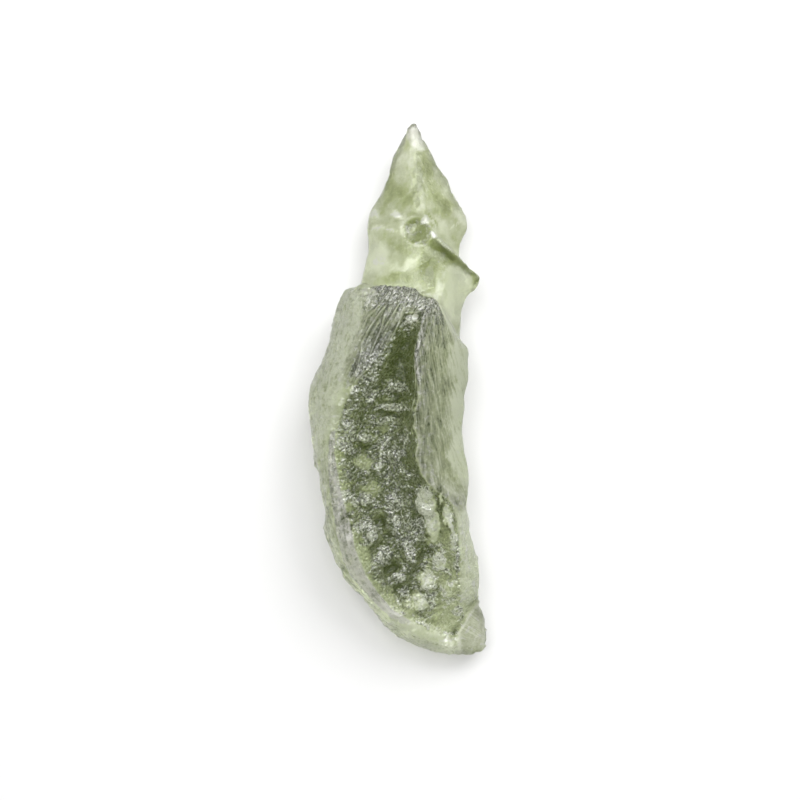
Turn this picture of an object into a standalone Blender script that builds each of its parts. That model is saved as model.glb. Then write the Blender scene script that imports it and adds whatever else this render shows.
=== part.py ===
"""Moldavite: one natural splinter of green tektite glass, lying on its belly.

Metres, +Z up. +Y runs along the stone towards its thin tip and +X to the side with the spur.
The origin is the middle of the stone's box, on the surface that it lies on.

The stone is one solid. Its three masses are lofts between rails: the thick trough-shaped body,
the skirt with the spur that comes out under the body's broken end, and the thin spire above that.
Chips are cut from their union, then lumps, ledges and pits are raised on the skin, and the
places where it touches the ground are worn flat.
"""

import math

import bpy
import numpy as np
from mathutils import Matrix, Vector, noise

NAME = "moldavite"
MM = 0.001

# Driving dimensions, in millimetres.
SKIN_GRID = 0.22  # spacing of the skin that the lumps and pits are raised on
SKIN_GROWTH = 0.12  # gives back what easing the skin takes off thin edges
STATION_STEP = 0.30  # spacing of a loft's sections along the stone
WORN_HEIGHT = 0.22  # how much of the lowest bumps is worn flat by resting
TRIANGLES = 9600

# Rails of the body. Each point is (station, x, y, z): stations run from the broken end, 0, to the
# low corner, 27.5, and tie the rails together into sections.
BODY_RAILS = {
    "left_edge": [
        (0.0, -3.9, 7.5, 4.6), (0.7, -4.45, 6.8, 4.6), (1.9, -4.8, 5.6, 4.6), (3.0, -5.0, 4.5, 4.6),
        (4.2, -5.3, 3.3, 4.7), (5.4, -5.8, 2.1, 4.7), (6.5, -6.3, 1.0, 4.7), (7.5, -6.65, 0.0, 4.7),
        (8.6, -6.8, -1.1, 4.7), (9.6, -6.7, -2.1, 4.6), (10.8, -6.55, -3.3, 4.6),
        (11.9, -6.3, -4.4, 4.5), (12.8, -6.4, -5.3, 4.5), (13.5, -6.05, -6.0, 4.4),
        (14.3, -5.8, -6.8, 4.4), (15.3, -5.8, -7.8, 4.3), (16.1, -5.4, -8.6, 4.3),
        (17.3, -5.6, -9.8, 4.2), (18.0, -5.7, -10.5, 4.1), (18.8, -5.4, -11.3, 4.0),
        (19.6, -5.0, -12.2, 3.9), (21.2, -4.2, -13.9, 3.6), (22.1, -3.4, -14.9, 3.4),
        (22.6, -2.6, -15.4, 3.3), (23.2, -2.3, -16.1, 3.2), (24.0, -1.5, -17.1, 3.0),
        (24.7, -0.7, -18.0, 2.8), (25.3, 0.45, -18.7, 2.6), (25.9, 1.8, -19.3, 2.4),
        (26.4, 3.1, -19.7, 2.2), (26.9, 4.5, -20.0, 2.0), (27.2, 5.6, -20.0, 1.9),
        (27.5, 6.5, -19.9, 1.9),
    ],
    "rim_outer": [
        (0.0, -2.2, 7.75, 6.8), (0.9, -2.3, 6.9, 7.3), (2.3, -2.6, 5.2, 7.5), (4.5, -3.2, 3.0, 7.6), (6.4, -4.0, 1.1, 7.5),
        (8.3, -4.7, -0.8, 7.3), (10.2, -5.2, -2.7, 7.1), (12.0, -5.4, -4.5, 7.0),
        (13.9, -5.3, -6.4, 6.8), (15.8, -5.1, -8.3, 6.6), (17.6, -4.8, -10.1, 6.3),
        (19.5, -4.2, -12.0, 5.9), (21.0, -3.4, -13.5, 5.5), (22.4, -2.5, -14.9, 5.0),
        (23.7, -1.4, -16.2, 4.5), (24.9, -0.1, -17.4, 4.0), (26.0, 1.5, -18.5, 3.4),
        (26.8, 3.7, -19.3, 2.8), (27.5, 6.0, -19.6, 2.3),
    ],
    "rim_inner": [
        (0.0, 0.0, 7.6, 7.3), (0.7, 0.1, 7.0, 8.1), (1.7, 0.2, 6.0, 8.4), (3.0, 0.0, 4.8, 8.3),
        (4.8, -0.7, 3.0, 8.0),
        (6.6, -1.7, 1.1, 7.8), (8.5, -2.9, -0.8, 7.4), (10.4, -3.8, -2.7, 7.1),
        (12.2, -4.2, -4.5, 6.9), (14.1, -4.3, -6.4, 6.8), (16.0, -4.0, -8.3, 6.6),
        (17.8, -3.7, -10.1, 6.3), (19.7, -3.1, -12.0, 5.9), (21.2, -2.3, -13.5, 5.4),
        (22.6, -1.4, -14.9, 4.8), (23.8, -0.4, -16.0, 4.3), (25.0, 1.0, -17.2, 3.7),
        (26.1, 2.5, -18.2, 3.1), (27.0, 4.4, -19.0, 2.6), (27.5, 6.0, -19.55, 2.35),
    ],
    "trough": [
        (0.0, 1.2, 7.2, 7.4), (0.7, 1.1, 6.6, 8.2), (1.7, 1.0, 5.7, 8.5), (3.0, 0.7, 4.5, 8.0),
        (4.5, 0.3, 3.0, 7.0), (5.7, 0.0, 1.8, 6.4), (7.0, -0.2, 0.6, 6.1), (10.0, -0.6, -2.4, 5.9), (13.0, -0.7, -5.4, 5.7),
        (16.0, -0.5, -8.4, 5.5), (19.0, -0.2, -11.5, 5.0), (21.5, 0.2, -14.0, 4.4),
        (23.5, 1.2, -16.0, 3.6), (25.3, 2.8, -17.8, 2.9), (26.5, 4.2, -18.9, 2.5),
        (27.5, 6.15, -19.6, 2.3),
    ],
    "crest": [
        (0.0, 2.3, 6.7, 7.5), (0.7, 2.0, 6.1, 8.4), (1.6, 1.65, 5.3, 8.9), (2.9, 1.3, 4.15, 9.1), (4.2, 1.0, 3.0, 9.2),
        (5.0, 0.95, 2.3, 9.2), (6.8, 1.2, 0.6, 9.1), (8.6, 1.1, -1.1, 9.0), (10.0, 0.95, -2.5, 8.8),
        (11.1, 1.2, -3.6, 8.6), (12.2, 1.05, -4.6, 8.4), (13.2, 1.3, -5.6, 8.1),
        (14.0, 1.7, -6.4, 7.8), (14.9, 2.4, -7.4, 7.4), (15.8, 3.2, -8.2, 6.9),
        (17.3, 3.8, -9.7, 6.3), (19.3, 4.1, -11.8, 5.8), (21.8, 4.3, -14.3, 5.0),
        (24.0, 4.7, -16.5, 4.0), (26.0, 5.3, -18.3, 3.0), (27.5, 6.3, -19.7, 2.3),
    ],
    "right_edge": [
        (0.0, 3.0, 6.0, 5.0), (1.8, 3.4, 5.1, 4.8), (3.2, 3.9, 4.0, 4.6), (4.0, 4.4, 3.3, 4.5),
        (4.4, 4.95, 3.0, 4.4), (4.9, 5.0, 2.7, 4.3), (5.4, 4.85, 2.3, 4.3), (6.0, 4.9, 1.7, 4.2),
        (7.3, 4.75, 0.35, 4.2), (8.3, 4.6, -0.6, 4.1), (9.0, 4.6, -1.4, 4.1), (9.5, 4.4, -1.8, 4.1),
        (10.2, 4.4, -2.5, 4.0), (12.0, 4.55, -4.4, 4.0), (13.5, 4.8, -5.9, 3.9),
        (14.8, 5.0, -7.2, 3.8), (16.2, 4.85, -8.6, 3.7), (17.3, 5.1, -9.7, 3.6),
        (18.3, 5.0, -10.7, 3.5), (19.5, 5.4, -12.0, 3.4), (20.7, 5.75, -13.2, 3.3),
        (21.6, 5.7, -14.1, 3.2), (23.0, 5.7, -15.5, 3.0), (24.0, 6.1, -16.4, 2.8),
        (25.2, 6.5, -17.6, 2.5), (26.2, 6.75, -18.6, 2.3), (27.0, 6.75, -19.4, 2.1),
        (27.5, 6.65, -19.8, 2.0),
    ],
    "belly_right": [
        (0.0, 1.8, 6.2, 2.0), (4.0, 2.4, 3.2, 0.7), (10.0, 2.5, -2.5, 0.2), (16.0, 2.7, -8.5, 0.2),
        (21.0, 3.3, -13.6, 0.3), (25.0, 4.9, -17.4, 0.8), (27.5, 6.35, -19.65, 1.5),
    ],
    "belly_left": [
        (0.0, -2.2, 6.6, 2.0), (4.0, -2.6, 3.4, 0.7), (10.0, -3.3, -2.5, 0.2), (16.0, -2.9, -8.5, 0.2),
        (21.0, -1.1, -13.8, 0.3), (25.0, 2.4, -17.8, 0.8), (27.5, 6.0, -19.6, 1.5),
    ],
}
# Lumps on the upper skin, and pits where the height is below zero:
# (x, y, two radii, turn about Z in degrees, height).
LUMPS = [
    (-0.45, 0.26, 0.9, 0.46, 0, 0.38), (-0.15, -1.31, 1.2, 0.46, 0, 0.38),
    (-1.05, -2.28, 0.9, 0.42, 8, 0.34), (0.52, -2.88, 0.5, 0.38, 0, 0.26),
    (-2.54, -3.55, 0.75, 0.42, -15, 0.32), (-2.17, -0.93, 0.6, 0.42, 20, 0.26),
    (-0.45, -4.9, 0.6, 0.6, 0, 0.26), (-1.57, -5.9, 0.5, 0.75, 0, 0.24),
    (0.3, -6.0, 0.6, 0.7, 0, 0.26), (-0.8, -8.0, 0.65, 0.75, 0, 0.26),
    (-2.6, -8.2, 0.52, 0.48, 0, 0.34), (0.5, -9.2, 0.5, 1.2, 12, 0.3),
    (-2.1, -10.9, 0.55, 0.62, 0, 0.38), (-1.1, -10.2, 0.36, 0.42, 0, 0.26),
    (-1.57, -12.75, 0.62, 0.9, 15, 0.38), (1.95, -8.5, 0.72, 1.2, 12, 0.5),
    (2.25, -10.35, 0.46, 0.85, 0, 0.36), (3.5, -10.1, 0.4, 1.2, 6, 0.34),
    (0.75, -12.4, 0.5, 1.2, 35, 0.46), (-0.15, -13.8, 0.6, 0.36, 0, 0.26),
    (1.4, -15.75, 0.62, 0.85, 20, 0.38), (2.0, -14.5, 0.68, 0.6, 0, 0.32),
    (3.5, -14.8, 0.85, 0.75, 0, 0.3), (0.37, -16.6, 0.46, 0.32, 0, 0.2),
    (-3.67, -0.19, 0.65, 0.45, 10, 0.22), (-4.6, -1.2, 0.55, 0.5, 0, 0.2),
    (-0.45, 12.8, 0.38, 0.36, 0, 0.26),
    (-1.57, -9.76, 0.42, 0.42, 0, -0.38), (-0.75, -13.3, 0.52, 0.46, 0, -0.42),
    (0.3, -14.85, 0.75, 0.4, 0, -0.36), (1.87, -12.15, 0.56, 0.3, 25, -0.42),
    (-0.5, -0.45, 0.62, 0.24, 0, -0.3), (-0.8, -1.76, 0.78, 0.26, -10, -0.3),
    (-2.1, -4.2, 0.6, 0.3, 10, -0.26), (-2.6, 7.3, 0.5, 0.5, 0, -0.45),
    (0.9, 5.4, 0.6, 0.3, -20, -0.3),
]

# Sides of the trough's floor: y values, and x at each.
TROUGH_LEFT = ((-19.0, -16.0, -12.0, -8.0, -4.5, -1.0, 2.0, 5.0), (4.0, 0.2, -2.7, -3.8, -4.0, -3.0, -1.2, 0.2))
TROUGH_RIGHT = ((-19.0, -16.0, -12.0, -8.0, -6.0, -2.5, 5.0), (5.0, 4.3, 3.8, 2.6, 1.1, 0.7, 1.0))

# Flutes, each a narrow ridge that fans down from the broken end: (x, y) points along it.
FLUTE_HEIGHT, FLUTE_WIDTH = 0.16, 0.17
FLUTES = [
    [(-1.57, 6.7), (-2.25, 5.35), (-2.9, 3.85), (-3.3, 2.6)],
    [(-0.97, 6.7), (-1.72, 5.2), (-2.62, 3.33), (-2.92, 2.06), (-3.2, 0.56)],
    [(-0.6, 6.47), (-1.35, 4.75), (-2.1, 2.95), (-2.6, 1.3)],
    [(-0.07, 6.25), (-0.75, 4.6), (-1.57, 2.8), (-2.25, 1.1)],
    [(0.3, 5.8), (-0.3, 4.3), (-1.1, 2.5), (-1.87, 0.7)],
    [(0.75, 5.35), (0.15, 4.1), (-0.6, 2.95), (-1.5, 1.6)],
]
BODY_BULGES = [0.06, 0.04, -0.12, -0.16, 0.05, 0.16, 0.03, 0.14]

# Rails of the skirt, from its free upper lip, 0, to where it is lost inside the body, 12.
SKIRT_RAILS = {
    "left_edge": [
        (0.0, -2.5, 11.9, 2.3), (2.0, -2.4, 10.4, 2.3), (4.0, -2.7, 9.0, 2.4), (6.0, -3.0, 7.6, 2.6),
        (9.0, -3.1, 5.0, 2.8), (12.0, -3.0, 2.5, 3.0),
    ],
    "left_shoulder": [
        (0.0, -0.7, 12.5, 3.5), (2.0, -0.8, 10.6, 3.7), (4.0, -1.0, 8.8, 4.1), (6.0, -1.2, 7.4, 4.5),
        (9.0, -1.4, 5.0, 4.8), (12.0, -1.4, 2.5, 5.0),
    ],
    "brow": [
        (0.0, 1.6, 13.1, 4.4), (2.0, 1.2, 11.0, 4.5), (4.0, 1.2, 9.0, 4.7), (6.0, 1.0, 7.2, 5.0),
        (9.0, 1.0, 5.0, 5.3), (12.0, 1.0, 2.5, 5.4),
    ],
    "lip": [
        (0.0, 3.8, 10.4, 4.8), (2.0, 3.2, 9.2, 4.6), (4.0, 3.2, 7.8, 4.6), (6.0, 3.0, 6.6, 4.8),
        (9.0, 2.9, 5.0, 5.0), (12.0, 2.8, 2.5, 5.2),
    ],
    "spur_edge": [
        (0.0, 6.2, 8.1, 3.9), (0.8, 5.7, 7.6, 3.8), (2.5, 4.75, 6.5, 3.6), (4.0, 4.45, 5.7, 3.5),
        (6.0, 4.35, 4.7, 3.4), (9.0, 4.35, 3.6, 3.4), (12.0, 4.2, 2.2, 3.5),
    ],
    "belly_right": [
        (0.0, 3.9, 9.3, 2.0), (4.0, 3.5, 7.2, 1.3), (9.0, 2.6, 4.7, 1.0), (12.0, 2.4, 2.3, 1.0),
    ],
    "belly_left": [
        (0.0, -1.4, 11.4, 1.2), (4.0, -1.6, 8.8, 1.0), (9.0, -1.8, 5.0, 1.0), (12.0, -1.8, 2.5, 1.0),
    ],
}
SKIRT_BULGES = [0.08, 0.05, 0.0, -0.05, 0.1, 0.06, 0.12]

# Rails of the spire, from its tip, 0, to where it is lost under the skirt, 12.5.
SPIRE_RAILS = {
    "left_edge": [
        (0.0, 0.78, 20.0, 2.5), (0.7, 0.35, 19.4, 2.5), (1.5, 0.05, 18.7, 2.4), (2.6, -0.5, 17.7, 2.3),
        (3.6, -0.9, 16.6, 2.2), (4.4, -1.0, 16.0, 2.2), (5.6, -1.45, 14.8, 2.1), (6.6, -2.0, 13.9, 2.1),
        (7.4, -2.35, 13.1, 2.1), (8.3, -2.6, 12.2, 2.1), (9.0, -2.4, 11.6, 2.1), (10.2, -2.4, 10.4, 2.1),
        (12.5, -2.2, 8.2, 2.2),
    ],
    "ridge": [
        (0.0, 0.9, 20.0, 2.7), (0.7, 0.85, 19.3, 3.0), (1.5, 0.8, 18.6, 3.2), (2.6, 0.8, 17.5, 3.5),
        (4.5, 0.9, 15.6, 3.9), (6.6, 1.3, 13.6, 4.3), (8.3, 1.5, 11.9, 4.2), (10.2, 1.6, 10.2, 3.8),
        (12.5, 1.6, 8.2, 3.6),
    ],
    "right_edge": [
        (0.0, 1.02, 20.0, 2.5), (0.7, 1.35, 19.6, 2.5), (1.5, 1.8, 18.6, 2.4), (2.6, 2.45, 17.4, 2.3),
        (3.5, 2.75, 16.6, 2.3), (4.4, 3.4, 15.75, 2.2), (5.4, 3.7, 14.8, 2.2), (6.5, 4.3, 13.8, 2.2),
        (7.5, 4.85, 12.8, 2.2), (8.2, 5.1, 12.1, 2.2), (9.0, 4.7, 11.35, 2.2), (10.2, 4.55, 10.4, 2.2),
        (12.5, 4.4, 8.4, 2.3),
    ],
    "belly": [
        (0.0, 0.9, 20.0, 2.35), (1.5, 0.9, 18.6, 1.9), (3.6, 0.9, 16.5, 1.4), (6.6, 1.1, 13.6, 1.1),
        (10.2, 1.1, 10.2, 1.0), (12.5, 1.1, 8.2, 1.0),
    ],
}
SPIRE_BULGES = [0.06, 0.02, 0.12, 0.12]

# Chips struck from the glass: (x, y, z of the ball's centre, its three radii, turn about Z in degrees).
CHIPS = {
    "spire_bowl": (0.9, 12.15, 5.2, 1.35, 1.45, 1.5, 0),
    "facet_step": (3.9, -10.2, 8.5, 1.7, 2.5, 2.7, 22),
    "low_corner": (8.33, -18.87, 7.93, 6.35, 6.35, 6.35, 3),
    "end_notch": (-2.6, 8.6, 7.6, 0.8, 1.3, 2.2, 20),
    "end_hollow": (1.2, 9.6, 6.8, 3.2, 2.4, 1.6, -12),
    "belly_scoop_high": (-4.9, 2.2, -1.3, 2.6, 4.2, 2.6, 8),
    "belly_scoop_low": (5.2, -12.2, -1.5, 2.3, 4.0, 2.6, -6),
    "belly_groove": (-0.2, -4.2, -2.0, 1.5, 5.2, 2.45, 12),
}


def smooth_rail(points, stations):
    """Points of a rail at the stations: a cubic through its own points, with no overshoot."""
    rail = np.array(points)
    s, values = rail[:, 0], rail[:, 1:]
    step = np.diff(s)[:, None]
    slope = np.diff(values, axis=0) / step
    same_way = slope[:-1] * slope[1:] > 0
    inner = np.where(same_way, 2 * slope[:-1] * slope[1:] / np.where(same_way, slope[:-1] + slope[1:], 1), 0)
    tangent = np.vstack([slope[:1], inner, slope[-1:]])
    i = np.clip(np.searchsorted(s, stations, side="right") - 1, 0, len(s) - 2)
    h = step[i]
    t = ((stations - s[i])[:, None]) / h
    return (
        (1 + 2 * t) * (1 - t) ** 2 * values[i]
        + t * (1 - t) ** 2 * h * tangent[i]
        + t * t * (3 - 2 * t) * values[i + 1]
        + t * t * (t - 1) * h * tangent[i + 1]
    )


def ring_of(corners, bulges, counts):
    """One closed section: its corners joined by arcs that bow outwards by a share of their chord."""
    ring = []
    for i, (bulge, count) in enumerate(zip(bulges, counts)):
        a, b = corners[i], corners[(i + 1) % len(corners)]
        outwards = np.array([-(b - a)[2], 0.0, (b - a)[0]])
        control = (a + b) / 2 + 2 * bulge * outwards
        for t in np.arange(count) / count:
            ring.append((1 - t) ** 2 * a + 2 * t * (1 - t) * control + t * t * b)
    return ring


def loft(name, rails, bulges):
    """A closed mass through the sections that the rails give, with a fan over each end."""
    last = max(points[-1][0] for points in rails.values())
    stations = np.linspace(0.0, last, round(last / STATION_STEP) + 1)
    lines = np.stack([smooth_rail(points, stations) for points in rails.values()], axis=1)
    widths = np.linalg.norm(np.roll(lines, -1, axis=1) - lines, axis=2).max(axis=0)
    counts = [max(3, round(width / STATION_STEP)) for width in widths]
    rings = [ring_of(corners, bulges, counts) for corners in lines]
    around = len(rings[0])
    points = [point for ring in rings for point in ring]
    points += [np.mean(rings[0], axis=0), np.mean(rings[-1], axis=0)]
    faces = []
    for row in range(len(rings) - 1):
        for k in range(around):
            a, b = row * around + k, row * around + (k + 1) % around
            faces.append((a, b, b + around, a + around))
    first_row, last_row = 0, (len(rings) - 1) * around
    for k in range(around):
        faces.append((first_row + (k + 1) % around, first_row + k, len(points) - 2))
        faces.append((last_row + k, last_row + (k + 1) % around, len(points) - 1))
    mesh = bpy.data.meshes.new(name)
    mesh.from_pydata([Vector(p) * MM for p in points], [], faces)
    return bpy.data.objects.new(name, mesh)


def chip(name, x, y, z, rx, ry, rz, turn):
    """A round cutter, whose surface leaves the shell-like hollow of a struck chip."""
    bpy.ops.mesh.primitive_ico_sphere_add(subdivisions=4, radius=1.0)
    ball = bpy.context.object
    ball.name = name
    place = Matrix.Translation(Vector((x, y, z)) * MM) @ Matrix.Rotation(math.radians(turn), 4, "Z")
    ball.data.transform(place @ Matrix.Diagonal((rx * MM, ry * MM, rz * MM, 1.0)))
    return ball


def join(target, helper, operation):
    """Adds the helper to the target, or cuts it away, as a Boolean modifier."""
    step = target.modifiers.new(helper.name, "BOOLEAN")
    step.operation = operation
    step.object = helper
    step.solver = "EXACT"


def settle(obj):
    """Makes the object's modifiers real."""
    graph = bpy.context.evaluated_depsgraph_get()
    mesh = bpy.data.meshes.new_from_object(obj.evaluated_get(graph))
    obj.modifiers.clear()
    obj.data = mesh
    mesh.name = obj.name


def ramp(low, high, values):
    """0 below low, 1 above high, and a smooth slope between them."""
    t = np.clip((values - low) / (high - low), 0.0, 1.0)
    return t * t * (3 - 2 * t)


def dome(x, y, spot):
    """Height of one oval lump, which ends in a crease."""
    cx, cy, rx, ry, turn, height = spot
    c, s = math.cos(math.radians(turn)), math.sin(math.radians(turn))
    along, across = (x - cx) * c + (y - cy) * s, (y - cy) * c - (x - cx) * s
    return height * np.clip(1 - (along / rx) ** 2 - (across / ry) ** 2, 0.0, 1.0) ** 0.75


def flute(x, y, line):
    """Height of one narrow ridge along a line of points."""
    away = np.full(len(x), 9.0)
    for (ax, ay), (bx, by) in zip(line, line[1:]):
        length = (bx - ax) ** 2 + (by - ay) ** 2
        t = np.clip(((x - ax) * (bx - ax) + (y - ay) * (by - ay)) / length, 0.0, 1.0)
        away = np.minimum(away, np.hypot(x - ax - t * (bx - ax), y - ay - t * (by - ay)))
    return FLUTE_HEIGHT * np.exp(-((away / FLUTE_WIDTH) ** 2))


def ripples(points, size, seed):
    """Smooth noise between -1 and 1, whose waves are about this size in millimetres."""
    shift = Vector((seed, 2.7 * seed, -1.3 * seed))
    return np.array([noise.noise(Vector(p) / size + shift) for p in points])


def pitting(points, size, seed):
    """Round pits side by side: 1 at the middle of each pit and 0 on the walls between them."""
    shift = Vector((seed, 1.9 * seed, 0.7 * seed))
    near = np.array([noise.voronoi(Vector(p) / size + shift)[0][0] for p in points])
    return np.clip(1 - (near / 0.55) ** 2, 0.0, 1.0)


def in_trough(x, y):
    """1 on the trough's floor and 0 outside it."""
    left = np.interp(y, *TROUGH_LEFT)
    right = np.interp(y, *TROUGH_RIGHT)
    return ramp(left - 0.2, left + 0.5, x) * ramp(right + 0.2, right - 0.3, x) * ramp(4.6, 3.0, y)


def raised(points, normals):
    """How far each point of the skin moves out along its normal."""
    x, y, z = points.T
    up = ramp(0.15, 0.6, normals[:, 2])
    body = ramp(8.4, 7.2, y)
    lift = SKIN_GROWTH + 0.16 * ripples(points, 3.2, 4.0) + 0.1 * body * ripples(points, 1.3, 9.0)
    lift += 0.06 * body * ripples(points, 0.7, 15.0)
    wavy_x = x + 0.3 * ripples(points, 0.8, 40.0)
    wavy_y = y + 0.3 * ripples(points, 0.8, 50.0)
    for spot in LUMPS:
        lift += up * dome(wavy_x, wavy_y, spot)
    lift -= 0.24 * up * in_trough(x, y) * pitting(points * (0.8, 1.25, 1.0), 1.15, 60.0)
    for line in FLUTES:
        lift += up * ramp(6.0, 6.8, z) * flute(x, y, line)
    below = ramp(0.2, -0.5, normals[:, 2]) * ramp(3.6, 2.4, z)
    lift -= below * (0.32 * pitting(points, 1.9, 2.0) + 0.12 * pitting(points, 0.95, 6.0))
    end = ramp(6.3, 7.0, y) * ramp(8.2, 7.8, y) * ramp(4.4, 5.2, z)
    lift += end * (0.16 * ripples(points, 0.8, 21.0) - 0.2 * pitting(points, 1.3, 31.0))
    return lift


def points_of(mesh):
    """The mesh's points in millimetres."""
    points = np.empty(len(mesh.vertices) * 3)
    mesh.vertices.foreach_get("co", points)
    return points.reshape(-1, 3) / MM


def move_points(mesh, points):
    mesh.vertices.foreach_set("co", (points * MM).ravel())
    mesh.update()


def eased(points, edges):
    """The points after each has moved some of the way to the middle of its neighbours, twice."""
    for _ in range(2):
        total, count = np.zeros_like(points), np.zeros(len(points))
        for a, b in (edges.T, edges.T[::-1]):
            np.add.at(total, a, points[b])
            np.add.at(count, a, 1)
        points = points + 0.5 * (total / count[:, None] - points)
    return points


def weathered(obj):
    """Raises the lumps, flutes and pits, and wears the lowest bumps flat."""
    mesh = obj.data
    points = eased(points_of(mesh), np.array([edge.vertices[:] for edge in mesh.edges]))
    move_points(mesh, points)
    normals = np.array([vertex.normal for vertex in mesh.vertices])
    points += normals * raised(points, normals)[:, None]
    points[:, 2] = np.maximum(points[:, 2], points[:, 2].min() + WORN_HEIGHT)
    move_points(mesh, points)


def set_down(obj):
    """Puts the middle of the stone's box over the origin, with its worn bumps exactly on the ground."""
    mesh = obj.data
    points = points_of(mesh)
    worn = np.sort(points[:, 2])[len(points) // 200]
    points[:, 2] = np.where(points[:, 2] < worn + 0.02, worn, points[:, 2])
    low, high = points.min(axis=0), points.max(axis=0)
    move_points(mesh, points - ((low[0] + high[0]) / 2, (low[1] + high[1]) / 2, low[2]))


def glass():
    """Clear olive-green tektite glass."""
    made = bpy.data.materials.new("moldavite glass")
    made.use_nodes = True
    shader = made.node_tree.nodes["Principled BSDF"]
    shader.inputs["Base Color"].default_value = (0.36, 0.43, 0.22, 1.0)
    shader.inputs["Roughness"].default_value = 0.25
    shader.inputs["IOR"].default_value = 1.49
    shader.inputs["Transmission Weight"].default_value = 1.0
    return made


def main():
    for obj in list(bpy.data.objects):
        bpy.data.objects.remove(obj)
    part = bpy.data.collections.new("stone")
    helpers = bpy.data.collections.new("masses and cutters")
    bpy.context.scene.collection.children.link(part)
    bpy.context.scene.collection.children.link(helpers)

    stone = loft(NAME, BODY_RAILS, BODY_BULGES)
    part.objects.link(stone)
    masses = [loft("skirt", SKIRT_RAILS, SKIRT_BULGES), loft("spire", SPIRE_RAILS, SPIRE_BULGES)]
    chips = [chip(name, *sizes) for name, sizes in CHIPS.items()]
    for helper in masses + chips:
        for home in list(helper.users_collection):
            home.objects.unlink(helper)
        helpers.objects.link(helper)
        helper.hide_render = True
        helper.display_type = "WIRE"
        join(stone, helper, "UNION" if helper in masses else "DIFFERENCE")

    skin = stone.modifiers.new("skin", "REMESH")
    skin.mode = "VOXEL"
    skin.voxel_size = SKIN_GRID * MM
    settle(stone)
    weathered(stone)
    thin = stone.modifiers.new("facets", "DECIMATE")
    thin.use_collapse_triangulate = True
    thin.ratio = TRIANGLES / sum(len(face.vertices) - 2 for face in stone.data.polygons)
    settle(stone)
    set_down(stone)
    stone.data.materials.clear()
    stone.data.materials.append(glass())


if __name__ == "__main__":
    main()
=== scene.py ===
"""Moldavite: the fine skin and the green glass of one raw splinter, and the table it lies on.

Laid out as an add-on and run as a script. Lengths in the drawing lists are in millimetres.
"""

import math
from types import SimpleNamespace

import bmesh
import bpy
import numpy as np
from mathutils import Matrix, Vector, noise
from mathutils.bvhtree import BVHTree


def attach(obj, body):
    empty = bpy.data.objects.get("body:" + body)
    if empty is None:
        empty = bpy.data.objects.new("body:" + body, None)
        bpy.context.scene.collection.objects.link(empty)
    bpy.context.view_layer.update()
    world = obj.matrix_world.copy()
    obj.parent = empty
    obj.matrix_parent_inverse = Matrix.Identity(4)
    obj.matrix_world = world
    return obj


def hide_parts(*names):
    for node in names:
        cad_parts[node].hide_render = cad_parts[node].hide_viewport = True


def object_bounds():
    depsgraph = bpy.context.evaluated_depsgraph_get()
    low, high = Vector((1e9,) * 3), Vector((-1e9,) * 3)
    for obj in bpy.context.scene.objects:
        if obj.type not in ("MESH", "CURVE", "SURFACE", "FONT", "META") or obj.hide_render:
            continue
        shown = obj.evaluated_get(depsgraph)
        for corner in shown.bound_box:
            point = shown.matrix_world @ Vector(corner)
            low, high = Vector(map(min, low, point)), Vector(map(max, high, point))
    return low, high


bl_info = {
    "name": "Moldavite Stone",
    "version": (1, 0, 0),
    "blender": (4, 5, 0),
    "location": "3D View > Sidebar > Moldavite",
    "description": "A raw moldavite splinter of clear olive-green glass on a pale table",
    "category": "Add Mesh",
}

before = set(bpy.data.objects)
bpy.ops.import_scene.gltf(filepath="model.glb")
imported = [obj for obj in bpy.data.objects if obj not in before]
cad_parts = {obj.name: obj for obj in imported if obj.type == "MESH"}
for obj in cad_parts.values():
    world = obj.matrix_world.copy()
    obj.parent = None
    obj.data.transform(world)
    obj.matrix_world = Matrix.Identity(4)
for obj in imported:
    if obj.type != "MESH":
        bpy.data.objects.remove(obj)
CAD_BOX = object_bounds()

MM = 0.001
# The drawing lists below are measured from a point of the stone that stands here in the row frame.
DRAWN_FROM = np.array((0.1415, 0.012, -0.086))

# Lines along the body, as (y, x) pairs from the low corner up to the broken end.
RIM_OUTER = [
    (-19.6, 6.0), (-18.5, 1.5), (-17.4, -0.1), (-16.3, -1.5), (-14.8, -2.9), (-13.7, -3.8),
    (-12.6, -4.3), (-11.5, -4.55), (-10.5, -4.8), (-9.5, -4.88), (-8.3, -5.1), (-6.8, -5.3),
    (-4.8, -5.35), (-2.7, -5.2), (-0.8, -4.7), (1.1, -4.0), (3.0, -3.2), (5.2, -2.6), (7.8, -2.2),
]
RIM_INNER = [
    (-19.6, 6.0), (-18.2, 2.4), (-17.0, 0.4), (-16.3, -0.7), (-14.8, -1.9), (-13.7, -2.6),
    (-12.6, -3.1), (-11.5, -3.45), (-10.5, -3.6), (-9.5, -3.85), (-8.3, -4.25), (-6.8, -4.55),
    (-4.8, -4.9), (-2.7, -4.75), (-0.8, -4.1), (1.1, -2.8), (3.0, -1.2), (4.8, -0.1), (7.6, 0.2),
]
CREST = [
    (-19.7, 6.3), (-18.3, 5.3), (-16.5, 4.7), (-14.3, 4.4), (-11.8, 4.4), (-9.7, 4.2), (-8.65, 4.0),
    (-7.95, 3.35), (-7.5, 2.6), (-6.95, 2.05), (-6.2, 1.5), (-5.45, 1.3), (-4.8, 1.05), (-4.1, 1.25),
    (-3.4, 1.2), (-2.65, 0.95), (-1.35, 1.1), (-0.6, 1.3), (0.15, 1.25), (0.9, 1.1), (2.3, 1.0),
    (2.95, 1.05), (3.7, 1.3), (4.3, 1.45), (5.3, 1.65), (6.7, 2.2),
]
# The sharp diagonal crest of the skirt and the spire, as (x, y) points.
SPIRE_CREST = [(2.2, 11.95), (2.6, 11.25), (3.4, 10.5), (4.2, 9.9), (5.4, 8.95), (6.05, 8.05)]
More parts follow.
